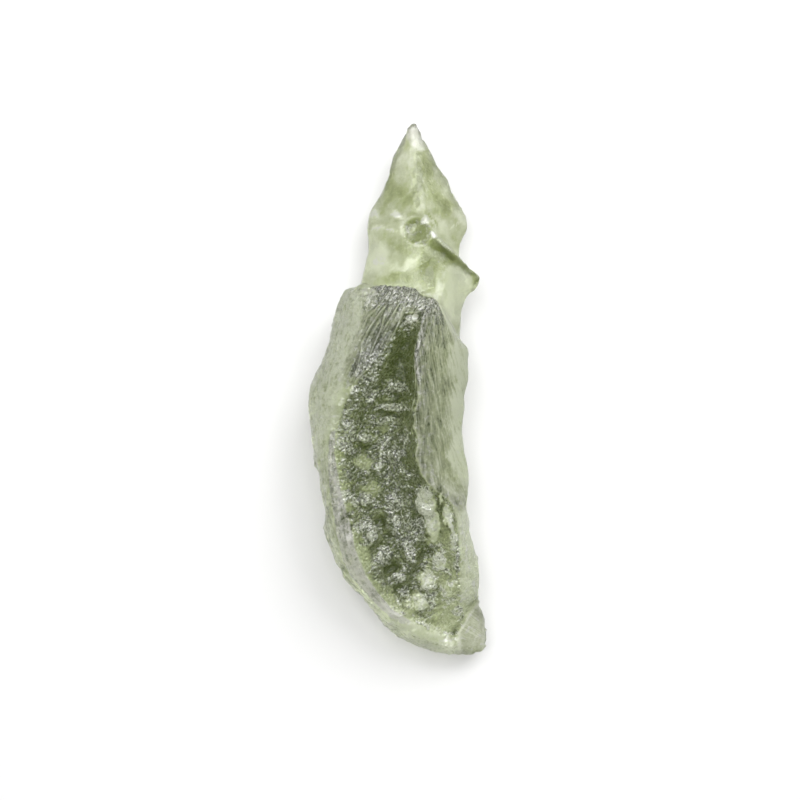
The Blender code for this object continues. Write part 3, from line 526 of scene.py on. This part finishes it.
def weighed(on, **weights):
    """The named zones' shares added up, each times its weight."""
    return sum(weight * getattr(on, zone) for zone, weight in weights.items())


def wandering(points, far, size, seed):
    """The points moved up to this far by smooth noise, so that what is drawn on them looks grown."""
    return points + far * np.column_stack([ripples(points, size, seed + k) for k in range(3)])


def streaks(points, on):
    """Long fine lines of the facet, the rim, the flutes and the flank, about -1 to 1."""
    x, y, z = points.T
    facet_side = on.past_crest * (1 + FACET_FAN * (y + 1.0)) + 0.4 * ripples(points, (1.4, 2.4, 1.4), 51.0)
    facet_side = np.column_stack([facet_side, 0.12 * y, 0.4 * z])
    rim_side = np.column_stack([on.past_outer, 0.1 * y, 0.3 * z])
    near = np.min([away_from(points, line) for line in FLUTE_LINES], axis=0)
    fan = np.column_stack([on.past_fan, 0.08 * (FAN_LEAN[1] * x + FAN_LEAN[0] * y), 0.3 * z])
    fibres = np.column_stack([on.past_outer, 0.14 * y, z]) + 0.1 * points
    return SimpleNamespace(
        facet=0.8 * ripples(facet_side, 0.24, 22.0) + 0.6 * creases(facet_side, 0.6, 25.0) - 0.3,
        rim=ripples(rim_side, 0.2, 31.0) + 0.6 * ripples(points, (0.25, 0.4, 0.3), 33.0),
        flutes=1.2 * hill(near, 0.0, 0.07) + 0.9 * ripples(fan + 0.06 * points, 0.17, 35.0),
        flank=ripples(fibres, 0.22, 36.0) + 0.6 * creases(fibres, 0.5, 37.0),
    )


def strands_of(points, on):
    """Places across and along the hair lines of the skin, in millimetres, and how strong they are."""
    x, y, _ = points.T
    facet_side = (x - 1.8 + 0.1 * y) * (1 + FACET_FAN * (y + 1.0))
    facet_side += 0.12 * ripples(points, (0.9, 1.8, 0.9), 51.0)
    rim_side = on.past_outer + 0.1 * ripples(points, (0.8, 1.2, 0.8), 52.0)
    fan_side = on.past_fan + 0.15 * ripples(points, (0.8, 1.2, 0.8), 53.0)
    in_fan = on.flutes + on.end > 0.4
    across = np.where(on.facet > 0.3, facet_side, np.where(in_fan, fan_side, rim_side))
    hair = weighed(on, rim=0.24, flank=0.07, flutes=0.18, chip=0.12, end=0.12)
    hair += on.facet * (0.24 - 0.04 * on.from_crest) + 0.2 * on.flank * ramp(-8.0, -12.0, y)
    return np.column_stack([across, 0.08 * y, hair])


def relief(points, on, lines, silver, skin):
    """How far the fine relief stands out along the normal, in millimetres."""
    x, y, z = points.T
    size, depth = skin.pit_size / MM, skin.pit_depth / MM
    streak, crack = skin.streak_height / MM, skin.scale_depth / MM
    crinkle = skin.crinkle_height / MM
    bent = wandering(points, 0.3, 1.1, 41.0)
    pitted = 1 - weighed(on, facet=0.9, rim=0.8, thin=0.85, flutes=0.8, chip=0.9)
    pitted = depth * np.clip(pitted, 0.08, 1.0)
    lift = 0.04 * on.body * ripples(points, 0.8, 47.0) - pitted * pitting(bent, size, 3.0)
    lift -= 0.6 * pitted * (1 - on.belly) * pitting(bent, 0.55 * size, 8.0)

    calm = np.clip(0.5 + 1.1 * ripples(points, 2.0, 14.0), 0.15, 1.0) * (1 - 0.8 * on.heart)
    lift += 0.7 * crack * on.trough * calm * (lumpy(bent, (1.25, 0.72, 1.0), 12.0) - 0.6)
    fine = weighed(on, trough=1.0, low_right=0.8) * np.clip(0.4 + 0.7 * silver, 0.4, 1.0)
    lift += 0.26 * crack * fine * (lumpy(bent, (0.5, 0.36, 0.45), 17.0) - 0.6)
    ragged = wandering(bent, 0.22, 0.45, 44.0)
    for lump in LUMPS:
        lift += 0.55 * lump[5] * on.up * dome(ragged, lump)

    crossing = ramp(-0.15, 0.15, ripples(points, 1.3, 15.0))
    slanted = np.column_stack([x + 0.35 * y, 0.35 * x - y, z]) + 0.5 * (bent - points)
    wrinkled = on.trough * (1 - 0.75 * on.heart) + weighed(on, low_right=0.8, end=0.6)
    wrinkled *= crinkle * np.clip(1.4 * silver, 0.2, 1.0)
    lift += wrinkled * crossing * creases(slanted, (0.36, 1.1, 0.6), 18.0)
    lift += wrinkled * (1 - crossing) * creases(slanted, (1.0, 0.34, 0.6), 19.0)
    lift += 0.4 * wrinkled * ripples(points, 0.2, 20.0)

    lift += streak * on.facet * (1.3 - on.from_crest) * lines.facet
    lift += streak * (0.4 * on.rim * lines.rim + 0.7 * on.flank * lines.flank)
    lift += skin.flute_height / MM * on.flutes * lines.flutes
    lift += 0.16 * on.end * (lumpy(bent, (0.36, 0.42, 0.4), 61.0) - 0.6) + 0.06 * on.chip_edge
    lift += 0.07 * on.side * on.body * creases(bent, (0.6, 0.9, 0.8), 73.0)
    away, left = by_crest(bent)
    hollow = 0.3 * glow(bent, NECK_HOLLOW) + 0.16 * left * hill(away, 0.65, 0.45)
    lift -= on.thin * on.up * hollow
    lift += 0.03 * on.thin * (ripples(bent, 0.7, 71.0) + creases(bent, (0.5, 1.4, 0.9), 72.0))
    return lift


def patched(points):
    """How much paler, and how much more silvery, the patches make each point."""
    ragged = wandering(wandering(points, 0.3, 0.7, 84.0), 0.1, 0.2, 87.0)
    paler, silver = np.zeros(len(points)), np.zeros(len(points))
    for patch in PATCHES:
        away = np.sqrt(oval(ragged, patch))
        paler += patch[5] * ramp(1.35, 0.6, away)
        silver += patch[6] * ramp(1.2, 0.85, away)
    for cloud in CLOUDS:
        paler += 1.3 * cloud[5] * glow(ragged, cloud)
    return paler, silver


def by_crest(points):
    """Distance from the spire's diagonal crest, and whether each point lies on its lower left side."""
    x, y, _ = points.T
    left = x < along([(b, a) for a, b in reversed(SPIRE_CREST)], y)
    off = (oval(points, BOWL) < 1.0) | (y > SPIRE_CREST_TOP)
    return np.where(off, FAR, away_from(points, SPIRE_CREST)), left


def by_spire(points, on):
    """How much paler the skin is round the spire's bowl and along its diagonal crest: painted shade in the
    bowl and on the crest's lower left side, painted highlights on the bowl's lower rim and the crest's upper
    right side.
    """
    x, y, _ = points.T
    from_bowl = np.sqrt(oval(points, BOWL))
    # The bowl's rim is painted pale, a painted highlight, but for its upper right side.
    low_side = 0.6 * (x - 1.2) + 0.8 * (y - 11.9) < 0.8
    ring = hill(from_bowl + 0.08 * ripples(points, 0.8, 91.0), 1.0, 0.09)
    ring *= ramp(-0.4, 0.3, ripples(points, 0.9, 92.0))
    away, left = by_crest(points)
    # Inside the bowl is painted shade.
    paler = 0.4 * low_side * ring - 0.42 * ramp(1.0, 0.8, from_bowl)
    # Painted light on the crest's upper right side and painted shade on its lower left side.
    paler += 0.22 * ~left * hill(away, 0.0, 0.5) - 0.4 * left * hill(away, 0.3, 0.4)
    return on.thin * paler


def shade_of(points, normals, on, lines, bend, paler, silver):
    """How light the glass is where light enters: 0 in the darkest cracks and 1 where it is palest. Ridges
    are painted paler and creases darker by their bend (painted highlights and painted shade), steep sides
    are painted paler where light glows through the edges, and light and shade are painted round the spire's
    bowl and crest too.
    """
    x, y, _ = points.T
    ragged = wandering(points, 0.25, 0.8, 84.0)
    clotted = ripples(ragged, (0.8, 0.55, 0.7), 85.0) + 0.6 * ripples(ragged, (0.4, 0.3, 0.4), 86.0)
    mottling = ripples(ragged, 0.5, 87.0) + 0.7 * ripples(points, 0.22, 88.0)

    # The trough is darkest away from the rim, and the facet pales away from the crest as its glass thins;
    # its right edge is painted paler still, painted light shining through it, and a painted highlight runs
    # along the crest.
    from_rim = 1 - ramp(1.5, 0.0, on.past_inner) * ramp(-1.0, -3.5, y)
    trough = 0.16 * clotted * (1 - on.heart) - 0.15 * np.clip(silver, 0.0, 1.0)
    trough -= 0.42 + 0.42 * from_rim + 0.08 * on.heart + 0.24 * glow(points, DARK_FLOOR)
    trough += 0.26 * ramp(-13.0, -17.0, y) + 0.34 * ramp(1.6, 3.4, x) * ramp(-7.6, -9.0, y)
    across = on.from_crest
    facet = 0.55 * across + 0.34 * ramp(0.55, 0.9, across) + 0.12 * ramp(-2.0, -6.0, y) - 0.66
    facet += (0.24 - 0.14 * across) * lines.facet + 0.14 * hill(on.past_crest, 0.08, 0.08)
    low_end = 0.3 * ramp(-14.5, -17.0, y)
    rim = low_end + 0.08 * lines.rim + 0.2 * ramp(-10.0, -13.0, y) - 0.3
    flank = low_end - 0.16 * ramp(-4.0, -7.0, y) + 0.1 * ramp(-14.0, -16.0, y) - 0.04
    flank += 0.22 * lines.flank + 0.6 * on.side * ripples(points, (0.2, 0.4, 0.3), 89.0)
    flutes = 0.18 * lines.flutes - 0.72

    shade = 0.88 + 0.1 * ripples(points, 1.6, 81.0) + paler
    shade += on.trough * trough + on.facet * facet + on.rim * rim
    shade += on.flank * flank + on.flutes * flutes
    # chip_edge paints a highlight along the chip's edge and shade just outside it.
    shade += weighed(on, dusty=-0.36, low_right=-0.03, chip=-0.22, end=-0.66, thin=-0.22, chip_edge=0.3)
    shade += mottling * weighed(
        on, flank=0.36, low_right=0.252, end=0.252, rim=0.196, facet=0.14, thin=0.14, chip=0.14
    )
    # Steep sides are painted paler: painted light glowing through the stone's edges.
    shade += 0.25 * on.side * (1 - on.flank) * (1 - on.facet) * (1 - on.chip)
    shade = np.maximum(shade, weighed(on, facet=0.2, thin=0.26)) + by_spire(points, on)
    shade = np.maximum(shade, 0.22 * on.thin)
    # Painted highlights on ridges and painted shade in creases and hollows, by how each point bends;
    # strongest in the trough's silver patches.
    contrast = 0.2 + 0.36 * on.trough * np.clip(0.2 + silver, 0.2, 1.0)
    contrast += weighed(on, end=0.2, flutes=0.2, facet=0.2, low_right=0.3)
    shade = np.clip(shade + contrast * (1 - 0.6 * on.thin) * np.tanh(0.25 * bend), 0.0, 1.0)
    under = 1.0 + 0.14 * mottling + 1.5 * on.thin * np.minimum(paler + 0.3, 0.0)
    return np.clip(shade + ramp(0.2, -0.1, normals[:, 2]) * (under - shade), 0.0, 1.0)


def silver_of(points, on, silver):
    """Where the skin is etched to a grainy silver: in the trough, by the crest and on the rim; in the colour
    its pale grey and light flecks are partly painted glints and sheen.
    """
    y = points[:, 1]
    patchy = 0.34 + 0.45 * ripples(points, 1.0, 95.0) + 0.4 * ripples(points, 0.4, 96.0)
    patchy += 0.25 * ramp(1.6, 0.4, on.past_inner) * ramp(-6.5, -4.5, y)
    silver = silver + on.trough * patchy * (1 - on.heart)
    silver += on.facet * np.clip(0.75 - 1.8 * on.from_crest, 0.05, 0.55)
    silver += weighed(on, flutes=0.5, end=0.45, dusty=0.45, bowl=0.35, low_right=0.15, chip=0.35)
    silver += 0.5 * on.flank * ripples(points, (0.6, 1.5, 0.8), 97.0)
    silver += 0.5 * on.low_right * ripples(points, 0.9, 98.0)
    silver = np.clip(silver, 0.0, 1.2) * np.maximum(on.up, 0.8 * on.end)
    return np.maximum(silver, 1.2 * on.rim)


def surface(points, normals, on, shade, silver):
    """What the glass reads at each point, by name."""
    y = points[:, 1]
    satin = on.rim + on.facet * (1 - 0.8 * on.from_crest) + 0.5 * on.flutes
    grit = 0.12 + 0.88 * np.maximum(on.trough, 0.35 * on.end)
    grit += weighed(on, flutes=0.12, dusty=0.3, flank=0.35, low_right=0.6)
    # The light specks are painted glints. Above zero, grey is a painted satin sheen on the rim, the flutes,
    # the facet and the chip; below zero it is the deeper green of the thin glass.
    specks = 1 + weighed(on, flank=1.3, low_right=0.5, thin=-0.5, rim=1.5, facet=0.3)
    grey = weighed(on, rim=0.75, flank=0.2, chip=0.35, flutes=0.5, thin=0.12)
    grey += 0.5 * on.facet * (1 - on.from_crest) - 1.6 * on.thin * np.clip(0.62 - shade, 0, 1)
    grey += on.thin * (0.3 * ramp(17.8, 19.4, y) - 0.6 * glow(points, NECK_HOLLOW))
    gloss = silver * (1 - 0.6 * on.rim) + weighed(on, flank=0.7, low_right=0.7)
    return {
        "satin": np.clip(satin, 0, 1),
        "strands": strands_of(points, on),
        "grit": grit * (1 - 0.8 * on.thin) + 0.3 * on.bowl,
        "specks": specks + 1.2 * on.flank * ramp(-8.0, -11.0, y),
        "shade": shade,
        "silver": silver,
        "grey": np.clip(grey, -1, 1),
        "gloss": np.clip(gloss + 0.35 * ramp(0.4, 0.1, normals[:, 2]), 0, 1),
    }


def placed(name, data):
    """A new object in the scene."""
    thing = bpy.data.objects.new(name, data)
    bpy.context.scene.collection.objects.link(thing)
    return thing


def fine_mesh(node, grain):
    """The CAD node's mesh again, on an even grid of faces."""
    rough = placed("rough_stone", node.data.copy())
    rough.modifiers.new("weld", "WELD").merge_threshold = WELD
    remesh = rough.modifiers.new("grid", "REMESH")
    remesh.mode = "VOXEL"
    remesh.voxel_size = grain
    graph = bpy.context.evaluated_depsgraph_get()
    mesh = bpy.data.meshes.new_from_object(rough.evaluated_get(graph))
    bpy.data.objects.remove(rough)
    return mesh


def refine(mesh, wanted):
    """Halves the edges between wanted points."""
    form = bmesh.new()
    form.from_mesh(mesh)
    form.verts.ensure_lookup_table()
    edges = [edge for edge in form.edges if all(wanted[v.index] for v in edge.verts)]
    bmesh.ops.subdivide_edges(form, edges=edges, cuts=1, use_grid_fill=True, use_single_edge=True)
    odd = [face for face in form.faces if len(face.verts) > 4]
    bmesh.ops.triangulate(form, faces=odd)
    form.to_mesh(mesh)
    form.free()


def laid_on(points, node):
    """The points moved to the nearest places on the CAD node's faces."""
    faces = [tuple(face.vertices) for face in node.data.polygons]
    tree = BVHTree.FromPolygons([v.co / MM for v in node.data.vertices], faces)
    return np.array([tree.find_nearest(Vector(p))[0] for p in points])


def store(mesh, name, values):
    """Keeps a number or a vector for each point of the mesh, for its material to read."""
    kind, field = ("FLOAT", "value") if values.ndim == 1 else ("FLOAT_VECTOR", "vector")
    mesh.attributes.new(name, kind, "POINT").data.foreach_set(field, values.astype(np.float32).ravel())


def put_points(mesh, points):
    """Moves the mesh's points to these places, in millimetres."""
    mesh.vertices.foreach_set("co", (points * MM).ravel())
    mesh.update()


def sculpted_stone(skin):
    """The stone's fine mesh, with its relief raised and its zones stored."""
    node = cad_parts["moldavite"]
    mesh = fine_mesh(node, skin.grain)
    refine(mesh, Skin(mesh).normals()[:, 2] > BELLY_TILT)
    form = Skin(mesh)
    form.points = laid_on(form.points, node)
    form.ease(rounds=4, keep=0.022)
    # The spire is nearly smooth, so its upper side is eased much longer.
    low, full_from, full_to, high = TIP_EASED
    tip = ramp(low, full_from, form.points[:, 1]) * ramp(high, full_to, form.points[:, 1])
    form.ease(rounds=110, keep=0.2, where=tip * ramp(0.2, 0.5, form.normals()[:, 2]))
    put_points(mesh, form.points)
    on = zones(form.points - DRAWN_FROM, form.normals())
    by_ridge = on.facet * (1.3 - on.from_crest) - 0.3
    sculpted = np.max([on.trough, on.flutes, on.end, on.rim, by_ridge], axis=0)
    refine(mesh, sculpted > FINE_SHARE)

    form = Skin(mesh)
    form.ease(rounds=2, keep=0.02)
    drawn, normals = form.points - DRAWN_FROM, form.normals()
    on = zones(drawn, normals)
    lines = streaks(drawn, on)
    paler, silver = patched(drawn)
    silver = silver_of(drawn, on, silver)
    form.points += normals * relief(drawn, on, lines, silver, skin)[:, None]
    form.points = np.clip(form.points, *(np.array(corner) / MM for corner in CAD_BOX))
    put_points(mesh, form.points)
    mesh.shade_smooth()
    shade = shade_of(drawn, normals, on, lines, form.bend(), paler, silver)
    for name, values in surface(drawn, normals, on, shade, silver).items():
        store(mesh, name, values)
    return mesh


# ---- materials ----


def feed(tree, socket, value):
    """Sets an input to a value, or links another node's output to it."""
    if isinstance(value, bpy.types.NodeSocket):
        tree.links.new(value, socket)
    else:
        socket.default_value = value


def add(tree, kind, at, **sockets):
    """A shader node at a grid place, with some of its inputs fed."""
    node = tree.nodes.new("ShaderNode" + kind)
    node.location = (at[0] * NODE_GRID[0], at[1] * NODE_GRID[1])
    for name, value in sockets.items():
        feed(tree, node.inputs[name.replace("_", " ")], value)
    return node


def new_tree(owner):
    """The emptied node tree of a material or a world."""
    owner.use_nodes = True
    owner.node_tree.nodes.clear()
    return owner.node_tree


def attribute(tree, name, at, output="Fac"):
    """What is stored under this name for each point of the mesh."""
    node = add(tree, "Attribute", at)
    node.attribute_name = name
    return node.outputs[output]


def calc(tree, operation, at, *values, clamp=False):
    """A math node; each value is a number or another node's output."""
    node = add(tree, "Math", at)
    node.operation, node.use_clamp = operation, clamp
    for socket, value in zip(node.inputs, values):
        feed(tree, socket, value)
    return node.outputs["Value"]


def mixed_value(tree, at, factor, low, high, between=(0.0, 1.0)):
    """From low to high while factor goes from the first to the second of the values between."""
    start, stop = between
    node = add(tree, "MapRange", at, Value=factor, From_Min=start, From_Max=stop, To_Min=low, To_Max=high)
    return node.outputs["Result"]


def colours_by(tree, at, factor, first, last, *between):
    """A colour ramp from the first colour to the last, through (position, colour) pairs between."""
    node = add(tree, "ValToRGB", at, Fac=factor)
    stops = node.color_ramp.elements
    stops[0].color, stops[1].color = (*first, 1.0), (*last, 1.0)
    for position, colour in between:
        stops.new(position).color = (*colour, 1.0)
    return node.outputs["Color"]


def clouded(tree, at, place, dimensions="3D", **sockets):
    """Soft noise from 0 to 1."""
    node = add(tree, "TexNoise", at, Vector=place, **sockets)
    node.noise_dimensions = dimensions
    return node.outputs["Fac"]


def bumped(tree, at, **sockets):
    """The normal of a skin raised by a height."""
    return add(tree, "Bump", at, **sockets).outputs["Normal"]


def glass_material(glass):
    """Clear green glass: etched and sparkling in the trough, satin on the rim and the facet; the sparkle's
    light flecks and the satin's lavender grey are partly painted into the colour as glints and sheen.
    """
    material = bpy.data.materials.new("moldavite_glass")
    tree = new_tree(material)
    names = ("satin", "grit", "shade", "silver", "gloss", "grey", "specks")
    satin, grit, shade, silver, gloss, grey, specks = (
        attribute(tree, name, (-8, row)) for row, name in enumerate(names, 3)
    )
    strands = attribute(tree, "strands", (-8, 10), "Vector")
    place = add(tree, "TexCoord", (-8, 1)).outputs["Object"]
    speck_noise = clouded(tree, (-7, 2), place, Scale=1 / glass.speck_size, Detail=2.0, Roughness=0.7)
    foil = clouded(tree, (-7, 0), place, Scale=0.6 / glass.speck_size, Detail=1.0, Distortion=0.5)
    clumps = clouded(tree, (-7, 6), place, Scale=1 / (2 * glass.speck_size), Detail=2.0)
    hairs = clouded(tree, (-7, 9), strands, "2D", Scale=MM / glass.hair_size, Detail=2.0, Roughness=0.6)
    hairy = add(tree, "SeparateXYZ", (-7, 8), Vector=strands).outputs["Z"]

    lined = mixed_value(tree, (-6, 9), hairs, -1.0, 1.0, (0.32, 0.68))
    lined = calc(tree, "MULTIPLY_ADD", (-5, 9), lined, hairy, shade)
    scattered = calc(tree, "MULTIPLY_ADD", (-6, 6), clumps, 2.0, silver)
    grainy = calc(tree, "MULTIPLY_ADD", (-5, 6), scattered, 4.0, -5.5, clamp=True)
    gritty = calc(tree, "MULTIPLY", (-5, 3), grainy, grit)
    # The light flecks and veins painted into the colour are painted glints of the etched skin; the dark
    # flecks are its grain.
    glint_veins = calc(tree, "ABSOLUTE", (-5, 0), calc(tree, "SUBTRACT", (-6, 0), foil, 0.5))
    glint_veins = calc(tree, "MULTIPLY", (-3, 0), mixed_value(tree, (-4, 0), glint_veins, 0.8, 0.0, (0.004, 0.03)), grainy)
    glint_flecks = mixed_value(tree, (-6, 1), speck_noise, 0.0, 0.8, (0.55, 0.72))
    glint_flecks = calc(tree, "MAXIMUM", (-5, 1), glint_flecks, glint_veins)
    dark = mixed_value(tree, (-6, 2), speck_noise, 1.0, 0.0, (0.28, 0.48))
    glints_and_specks = calc(tree, "MULTIPLY_ADD", (-5, 2), dark, -0.5, glint_flecks)
    plain = calc(tree, "MULTIPLY", (-5, 4), specks, glass.speck_contrast)
    contrast = calc(tree, "MULTIPLY_ADD", (-4, 3), gritty, glass.sparkle_contrast, plain)
    toned = calc(tree, "MULTIPLY_ADD", (-4, 2), glints_and_specks, contrast, lined, clamp=True)

    tint = colours_by(tree, (-3, 5), toned, glass.dark_colour, glass.pale_colour, (0.5, glass.colour))
    pale = mixed_value(tree, (-4, 7), toned, 0.5, 1.0, (0.1, 0.4))
    greyness = calc(tree, "MULTIPLY", (-3, 6), calc(tree, "MAXIMUM", (-4, 6), grainy, grey), pale)
    greener = mixed_value(tree, (-3, 7), grey, 0.7, 0.0, (-1.0, 0.0))
    dulled = mixed_value(tree, (-2, 6), greyness, 1.15, 0.2)
    strength = calc(tree, "ADD", (-1, 7), dulled, greener)
    greyed = add(tree, "HueSaturation", (-1, 5), Saturation=strength, Color=tint)
    # A painted lavender sheen, multiplied into the colour where the skin is grey.
    sheen_tinted = add(tree, "Mix", (0, 5))
    sheen_tinted.data_type, sheen_tinted.blend_type = "RGBA", "MULTIPLY"
    feed(tree, sheen_tinted.inputs["Factor"], calc(tree, "MULTIPLY", (-1, 6), grey, pale, clamp=True))
    first, second = [socket for socket in sheen_tinted.inputs if socket.type == "RGBA"]
    feed(tree, first, greyed.outputs["Color"])
    feed(tree, second, (*glass.painted_sheen_colour, 1.0))
    coloured = next(socket for socket in sheen_tinted.outputs if socket.type == "RGBA")

    cells = add(tree, "TexVoronoi", (-4, 0), Vector=place, Scale=1 / glass.sparkle_size)
    pitted = mixed_value(tree, (-3, -1), grit, 0.1, 0.8)
    pits = bumped(tree, (-2, 0), Strength=pitted, Distance=PIT_BUMP, Height=cells.outputs["Distance"])
    uneven = clouded(tree, (-4, 1), place, Scale=1 / GRAIN_SIZE, Detail=3.0, Roughness=0.6)
    grain = bumped(tree, (-1, 0), Strength=0.5, Distance=GRAIN_BUMP, Height=uneven, Normal=pits)
    sparkling = mixed_value(tree, (-1, 1), gritty, 0.5, 1.0)
    glitter = bumped(tree, (0, 1), Strength=sparkling, Distance=GLITTER_BUMP, Height=speck_noise, Normal=pits)

    shader = add(
        tree, "BsdfPrincipled", (1, 0), Base_Color=coloured, Normal=grain, Coat_Normal=glitter,
        Roughness=mixed_value(tree, (-3, 3), satin, CLEAR_ROUGHNESS, SATIN_ROUGHNESS),
        IOR=glass.refraction, Transmission_Weight=glass.see_through,
        Coat_Weight=gloss, Coat_Roughness=GLAZE_ROUGHNESS,
        Coat_IOR=glass.glaze_index,
    )
    tinge = (*glass.depth_colour, 1.0)
    depth = add(tree, "VolumeAbsorption", (1, 2), Density=glass.depth_density, Color=tinge)
    add(tree, "OutputMaterial", (3, 0), Surface=shader.outputs["BSDF"], Volume=depth.outputs["Volume"])
    return material


def table_material(colour, lit):
    """Matt white card, lit a little from below."""
    material = bpy.data.materials.new("white_card")
    tree = new_tree(material)
    shader = add(
        tree, "BsdfPrincipled", (1, 0), Base_Color=(*colour, 1.0), Roughness=0.7,
        Emission_Color=(1.0, 1.0, 1.0, 1.0), Emission_Strength=lit,
    )
    add(tree, "OutputMaterial", (3, 0), Surface=shader.outputs["BSDF"])
    return material


# ---- stage ----


def light_tent(strength):
    """A white tent round the table, dim straight above, where it is open."""
    world = bpy.data.worlds.new("light_tent")
    bpy.context.scene.world = world
    tree = new_tree(world)
    place = add(tree, "TexCoord", (-4, 0)).outputs["Generated"]
    height = add(tree, "SeparateXYZ", (-3, 0), Vector=place).outputs["Z"]
    walls = colours_by(tree, (-2, 0), height, TENT_FLOOR, TENT_TOP, *TENT_WALLS)
    back = add(tree, "Background", (0, 0), Color=walls, Strength=strength)
    add(tree, "OutputWorld", (1, 0), Surface=back.outputs["Background"])


def softbox(name, place, size, power):
    """A square light that faces the stone."""
    data = bpy.data.lights.new(name, "AREA")
    data.shape = "SQUARE"
    data.size = size
    data.energy = power
    light = placed(name, data)
    light.location = place
    light.rotation_mode = "QUATERNION"
    light.rotation_quaternion = (-Vector(place)).to_track_quat("-Z", "Y")


def table_top(size, colour, lit):
    """The flat pale table."""
    half = size / 2
    mesh = bpy.data.meshes.new("table_top")
    corners = [(-half, -half, 0), (half, -half, 0), (half, half, 0), (-half, half, 0)]
    mesh.from_pydata(corners, [], [(0, 1, 2, 3)])
    mesh.materials.append(table_material(colour, lit))
    table = placed("table_top", mesh)


def overhead_camera(field, lens):
    """A camera that looks straight down, with the stone's tip at the top of the view."""
    data = bpy.data.cameras.new("overhead")
    data.lens = lens
    data.clip_start = 0.01
    camera = placed("overhead", data)
    camera.location = Vector(CAMERA_AIM) * MM + Vector((0, 0, field * lens / data.sensor_width))
    bpy.context.scene.camera = camera


# ---- operators ----


class MOLDAVITE_OT_stone(bpy.types.Operator):
    """Sculpt the stone's fine skin and give it its glass"""

    bl_idname = "moldavite.stone"
    bl_label = "Stone"

    def execute(self, context):
        stone = placed("stone", sculpted_stone(context.scene.moldavite_skin))
        stone.data.materials.clear()
        stone.data.materials.append(glass_material(context.scene.moldavite_glass))
        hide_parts("moldavite")
        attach(stone, "root")
        return {"FINISHED"}


class MOLDAVITE_OT_stage(bpy.types.Operator):
    """Lay the table and set the lights and the camera"""

    bl_idname = "moldavite.stage"
    bl_label = "Stage"

    def execute(self, context):
        stage = context.scene.moldavite_stage
        table_top(stage.table_size, stage.table_colour, stage.table_glow)
        light_tent(stage.sky)
        for name, place, size, power in SOFTBOXES:
            softbox(name, place, size, getattr(stage, power))
        overhead_camera(stage.field, stage.lens)
        context.scene.view_settings.view_transform = "Standard"
        return {"FINISHED"}


class MOLDAVITE_PT_panel(bpy.types.Panel):
    """Buttons and settings of the moldavite stone"""

    bl_label = "Moldavite"
    bl_space_type = "VIEW_3D"
    bl_region_type = "UI"
    bl_category = "Moldavite"

    def draw(self, context):
        for operator, settings in (
            ("moldavite.stone", (context.scene.moldavite_skin, context.scene.moldavite_glass)),
            ("moldavite.stage", (context.scene.moldavite_stage,)),
        ):
            self.layout.operator(operator)
            for group in settings:
                for name in group.__annotations__:
                    self.layout.prop(group, name)


SETTINGS = {
    "moldavite_skin": MoldaviteSkinSettings,
    "moldavite_glass": MoldaviteGlassSettings,
    "moldavite_stage": MoldaviteStageSettings,
}
TOOLS = (MOLDAVITE_OT_stone, MOLDAVITE_OT_stage, MOLDAVITE_PT_panel)


def register():
    for made in (*SETTINGS.values(), *TOOLS):
        bpy.utils.register_class(made)
    for name, group in SETTINGS.items():
        setattr(bpy.types.Scene, name, bpy.props.PointerProperty(type=group))


def unregister():
    for name in SETTINGS:
        delattr(bpy.types.Scene, name)
    for made in reversed((*SETTINGS.values(), *TOOLS)):
        bpy.utils.unregister_class(made)


def main():
    register()
    bpy.ops.moldavite.stone()
    bpy.ops.moldavite.stage()


if __name__ == "__main__":
    main()
